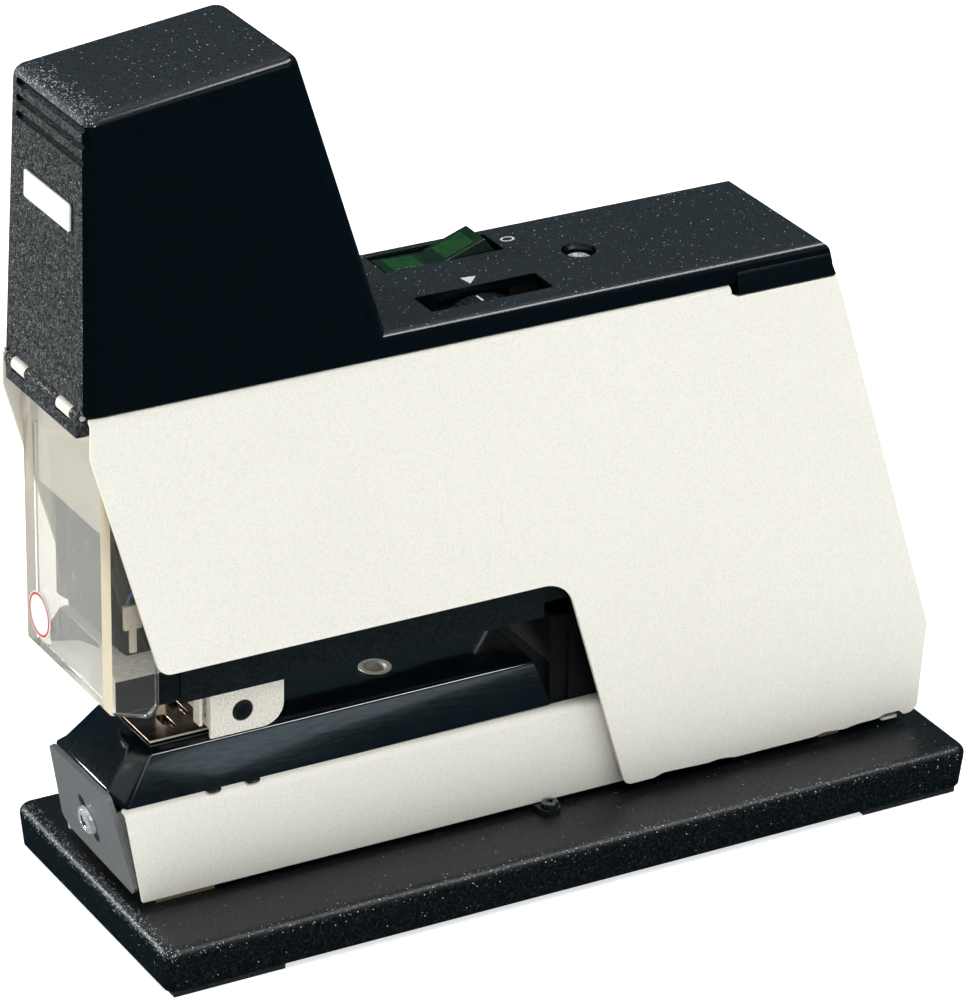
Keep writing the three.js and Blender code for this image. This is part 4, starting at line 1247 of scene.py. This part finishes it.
def make_marks():
    """The pointer beside the dial and the ring mark beside the rocker, as thin white print."""
    low, high = DECK_TOP - 0.1, DECK_TOP + 0.05
    pointer = prism("z", [(5.9, -13.1), (2.5, -9.8), (1.9, -13.6)], low, high)
    piece("dial_pointer", pointer, "frame", WHITE_INK, "white_film", tidy=False)
    section = [(1.05, low), (1.45, low), (1.45, high), (1.05, high)]
    bm = ring_solid("z", (0, 0), section, 48)
    bmesh.ops.scale(bm, vec=(0.9, 1.25, 1.0), verts=bm.verts)
    bmesh.ops.translate(bm, vec=(-13.5, 7.6, 0), verts=bm.verts)
    piece("off_mark", bm, "frame", WHITE_INK, "white_film", tidy=False)


def make_top():
    make_cover()
    make_rocker()
    make_wheel()
    make_marks()
    dress("name_badge", WHITE, 0.12)
    dress("cover_bracket", ZINC, 0.2)
    top, end = 147.2, 127.2
    make_screw("deck_screw_head", "z", DECK_SCREW, top, 3.3, 1.5, end, ["deck_screw"], "frame", height=1.8)


# ---- Guard ----


GUARD_FOLD = -113.4  # where the front sheet ends and the side wings begin, in Y


def make_guard():
    carrier = mesh_object("guard_bar", wedge_box((-19, 19), (-120.6, -117.8), (137.3, 141.9), 0.5))
    barrel = hinge_rod(1.8, -19, 19, 40)
    join(carrier, [barrel, block((-18.8, 18.8), (-118, -113.9), (137.3, 139.2))])
    cuts = [hinge_rod(0.95, -30, 30)]
    for x in HINGE_TABS:
        cuts.append(hinge_rod(2.15, x - 3.8, x + 3.8, 40))
        cuts.append(block((x - 3.8, x + 3.8), (-122, -116.5), (141.3, 146)))
    carve(carrier, cuts)
    finish_piece(carrier, "guard", LEATHER_BLACK, "black_parts", ["guard_carrier"], bevel=0.22, segments=2)
    front = block((-20.5, 20.5), (-115.8, -113.9), (68.9, 137.0))
    foot = [(-115.8, 68.9, 1), (-113.9, 66.5, 1), (-104, 63.4, 2), (-101.7, 65.6, 1)]
    wing = outline_of([(-115.8, 124, 1.5)] + foot + [(-101.7, 124, 1.5)])
    shell = mesh_object("guard_window", front)
    join(shell, [prism("x", wing, 18.6, 20.5)])
    join(shell, [prism("x", wing, -20.5, -18.6)])
    finish_piece(shell, "guard", CLEAR, "clear_guard", ["guard_shell"], bevel=0.35, segments=3)
    bake_modifiers(shell)
    split(shell, (0, GUARD_FOLD, 0), (0, 1, 0))
    shade(shell)
    paint_faces(shell, [CLEAR, CLEAR_FRONT, CLEAR_EDGE, CLEAR_RIM], guard_finish)
    disc = [(0, -116.16), (5.75, -116.16), (5.8, -116.1), (5.8, -115.9), (0, -115.9)]
    centre = (-13, 77.9)
    piece("guard_disc", lathe("y", centre, disc), "guard", WHITE, "white_film", ["warning_disc"], tidy=False)
    ring = [(4.9, -116.22), (5.45, -116.22), (5.45, -116.12), (4.9, -116.12)]
    piece("guard_disc_ring", ring_solid("y", centre, ring), "guard", RED_INK, "white_film", tidy=False)


def split(obj, point, normal):
    """Cuts the faces along a plane so that the two sides can have different finishes."""
    bm = bmesh.new()
    bm.from_mesh(obj.data)
    geometry = list(bm.verts) + list(bm.edges) + list(bm.faces)
    bmesh.ops.bisect_plane(bm, geom=geometry, plane_co=place(*point), plane_no=normal)
    bm.to_mesh(obj.data)
    bm.free()


def guard_finish(centre, normal):
    """0 clear, 1 the front, its veil fine scratches and painted reflection, 2 the amber folded corners, 3
    the cut rims, painted pale as a painted highlight.
    """
    if abs(normal.y) > 0.97 and centre.z > 69.5 and abs(centre.x) < 18.4:
        return 1
    if centre.y > GUARD_FOLD and (abs(normal.x) > 0.97 or centre.x < 0):
        return 0
    if centre.y < -113.3 and abs(centre.x) > 18.4 and centre.z > 68.5:
        return 2
    return 3


# ---- Head, magazine and drive ----


def make_head():
    for node, material, bevel in (
        ("magazine_housing", STEEL_BLACK, 0.4),
        ("staple_rail", STEEL, 0.2),
        ("staple_pusher", PART_BLACK, 0.3),
        ("pusher_spring", STEEL, 0.15),
        ("magazine_pivot", ZINC, 0.3),
        ("driver_blade", STEEL, 0.15),
        ("solenoid_yoke", ZINC, 0.3),
        ("solenoid_coil", WINDING, 0.4),
        ("plunger", STEEL, 0.3),
    ):
        dress(node, material, bevel)
    make_nose()
    make_staples()
    make_return_spring()


def make_nose():
    """The magazine's front block: its top, slopes and front painted a bright satin as painted light, its
    sides black, and part of its face under a thin black sheet of painted shade.
    """
    foot = [(-17.5, 64.2, 0.5), (17.5, 64.2, 0.5)]
    shoulders = [(17.5, 73.0, 0.8), (12.0, 79.4, 0.8), (-12.0, 79.4, 0.8), (-17.5, 73.0, 0.8)]
    nose = mesh_object("nose_block", prism("y", outline_of(foot + shoulders), -111.3, -94.9))
    carve(nose, [block((-9, 9), (-110.2, -90), (60, 76))])
    finish_piece(nose, "magazine", PART_BLACK, "bright_steel", ["magazine_nose"], bevel=0.3, segments=2)
    paint_faces(nose, [PART_BLACK, SATIN_PAINTED_LIGHT], lambda c, n: 1 if n.z > 0.3 or (n.y < -0.3 and c.z > 64.5) else 0)
    # a thin black sheet over part of the nose's face: painted shade
    shaded = [(-17.3, 68.0), (-0.7, 75.7), (9.6, 78.4), (9.6, 79.1), (-11.9, 79.1), (-17.2, 72.9)]
    face = prism("y", shaded, -111.55, -111.25)
    piece("nose_painted_shade_sheet", face, "magazine", PART_BLACK, "black_parts", bevel=0.08, segments=2)


def make_staples():
    """A stick of glued wire staples, each a fine round-edged wire folded over the rail."""
    outside = [(-6.35, 65.4), (-6.35, 71.4, 0.7), (6.35, 71.4, 0.7), (6.35, 65.4)]
    inside = [(5.8, 65.4), (5.8, 70.9, 0.3), (-5.8, 70.9, 0.3), (-5.8, 65.4)]
    staple = outline_of(outside + inside, 30)
    parts = []
    pitch, length = 0.6, 49.0
    for k in range(int(length / pitch)):
        start = -89.0 + k * pitch
        parts.append(prism("y", staple, start + 0.02, start + pitch - 0.03))
    piece("staple_stick", merged(*parts), "magazine", ZINC, "bright_steel", ["staple_strip"], tidy=False)


DRIVE_LINE = -89.9  # the plunger's axis, in Y


def make_return_spring():
    """The plunger's spring, drawn as one fixed coil; on the machine it shortens as the plunger goes down."""
    bottom, top, radius, turns = 182.2, 206.3, 9.4, 4.5
    points = []
    for k in range(int(turns * 16) + 1):
        angle = 2 * math.pi * k / 16
        height = bottom + (top - bottom) * k / (turns * 16)
        points.append((radius * math.cos(angle), DRIVE_LINE + radius * math.sin(angle), height))
    spring = tube_piece("return_coil", points, 0.7, STEEL, "frame")
    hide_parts("return_spring")
    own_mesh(spring)


# ---- Depth stop ----


def make_stop():
    cheek = outline_of([(-85.6, 50.7), (-66.4, 50.7, 5.5), (-66.4, 64.8), (-85.6, 64.8)])
    obj = mesh_object("depth_stop", prism("x", cheek, 13.7, 14.7))
    parts = [prism("x", cheek, -14.7, -13.7), block((-14.2, 14.2), (-82.4, -72.9), (50.7, 51.7))]
    parts += [block((9.5, 14.4), (-85.6, -84.6), (53, 64)), block((-14.4, -9.5), (-85.6, -84.6), (53, 64))]
    join(obj, parts)
    button = (-77.2, 56.3)
    holes = [prism("x", circle(*button, 2.7, 48), 10, 20)]
    for k in range(3):
        holes.append(prism("y", circle(11.4, 55.8 + 3.2 * k, 0.75, 24), -90, -80))
    carve(obj, holes)
    finish_piece(obj, "stop", NICKEL, "nickel", ["paper_stop"], bevel=0.22, segments=3)
    knob = [(0, 10.45), (4.1, 10.45), (4.2, 10.7), (4.2, 13.1), (4.0, 13.3)]
    knob += [(2.4, 13.3), (2.4, 14.7), (2.2, 15.05), (1.4, 15.3), (0, 15.38)]
    bm = lathe("x", button, knob)
    piece("stop_button", bm, "stop", PART_BLACK, "black_parts", ["stop_knob"], tidy=False)
    dress("trigger_lever", NICKEL, 0.18)


# ---- Electrics ----


def make_electrics():
    dress("interlock_switch", PART_BLACK, 0.3)
    dress("interlock_pin", WHITE, 0.2)
    dress("circuit_board", BOARD, 0.2)
    dress("capacitor", CAPACITOR, 0.6)


make_base()
make_arm()
make_body()
make_top()
make_guard()
make_head()
make_stop()
make_electrics()
add_stage()
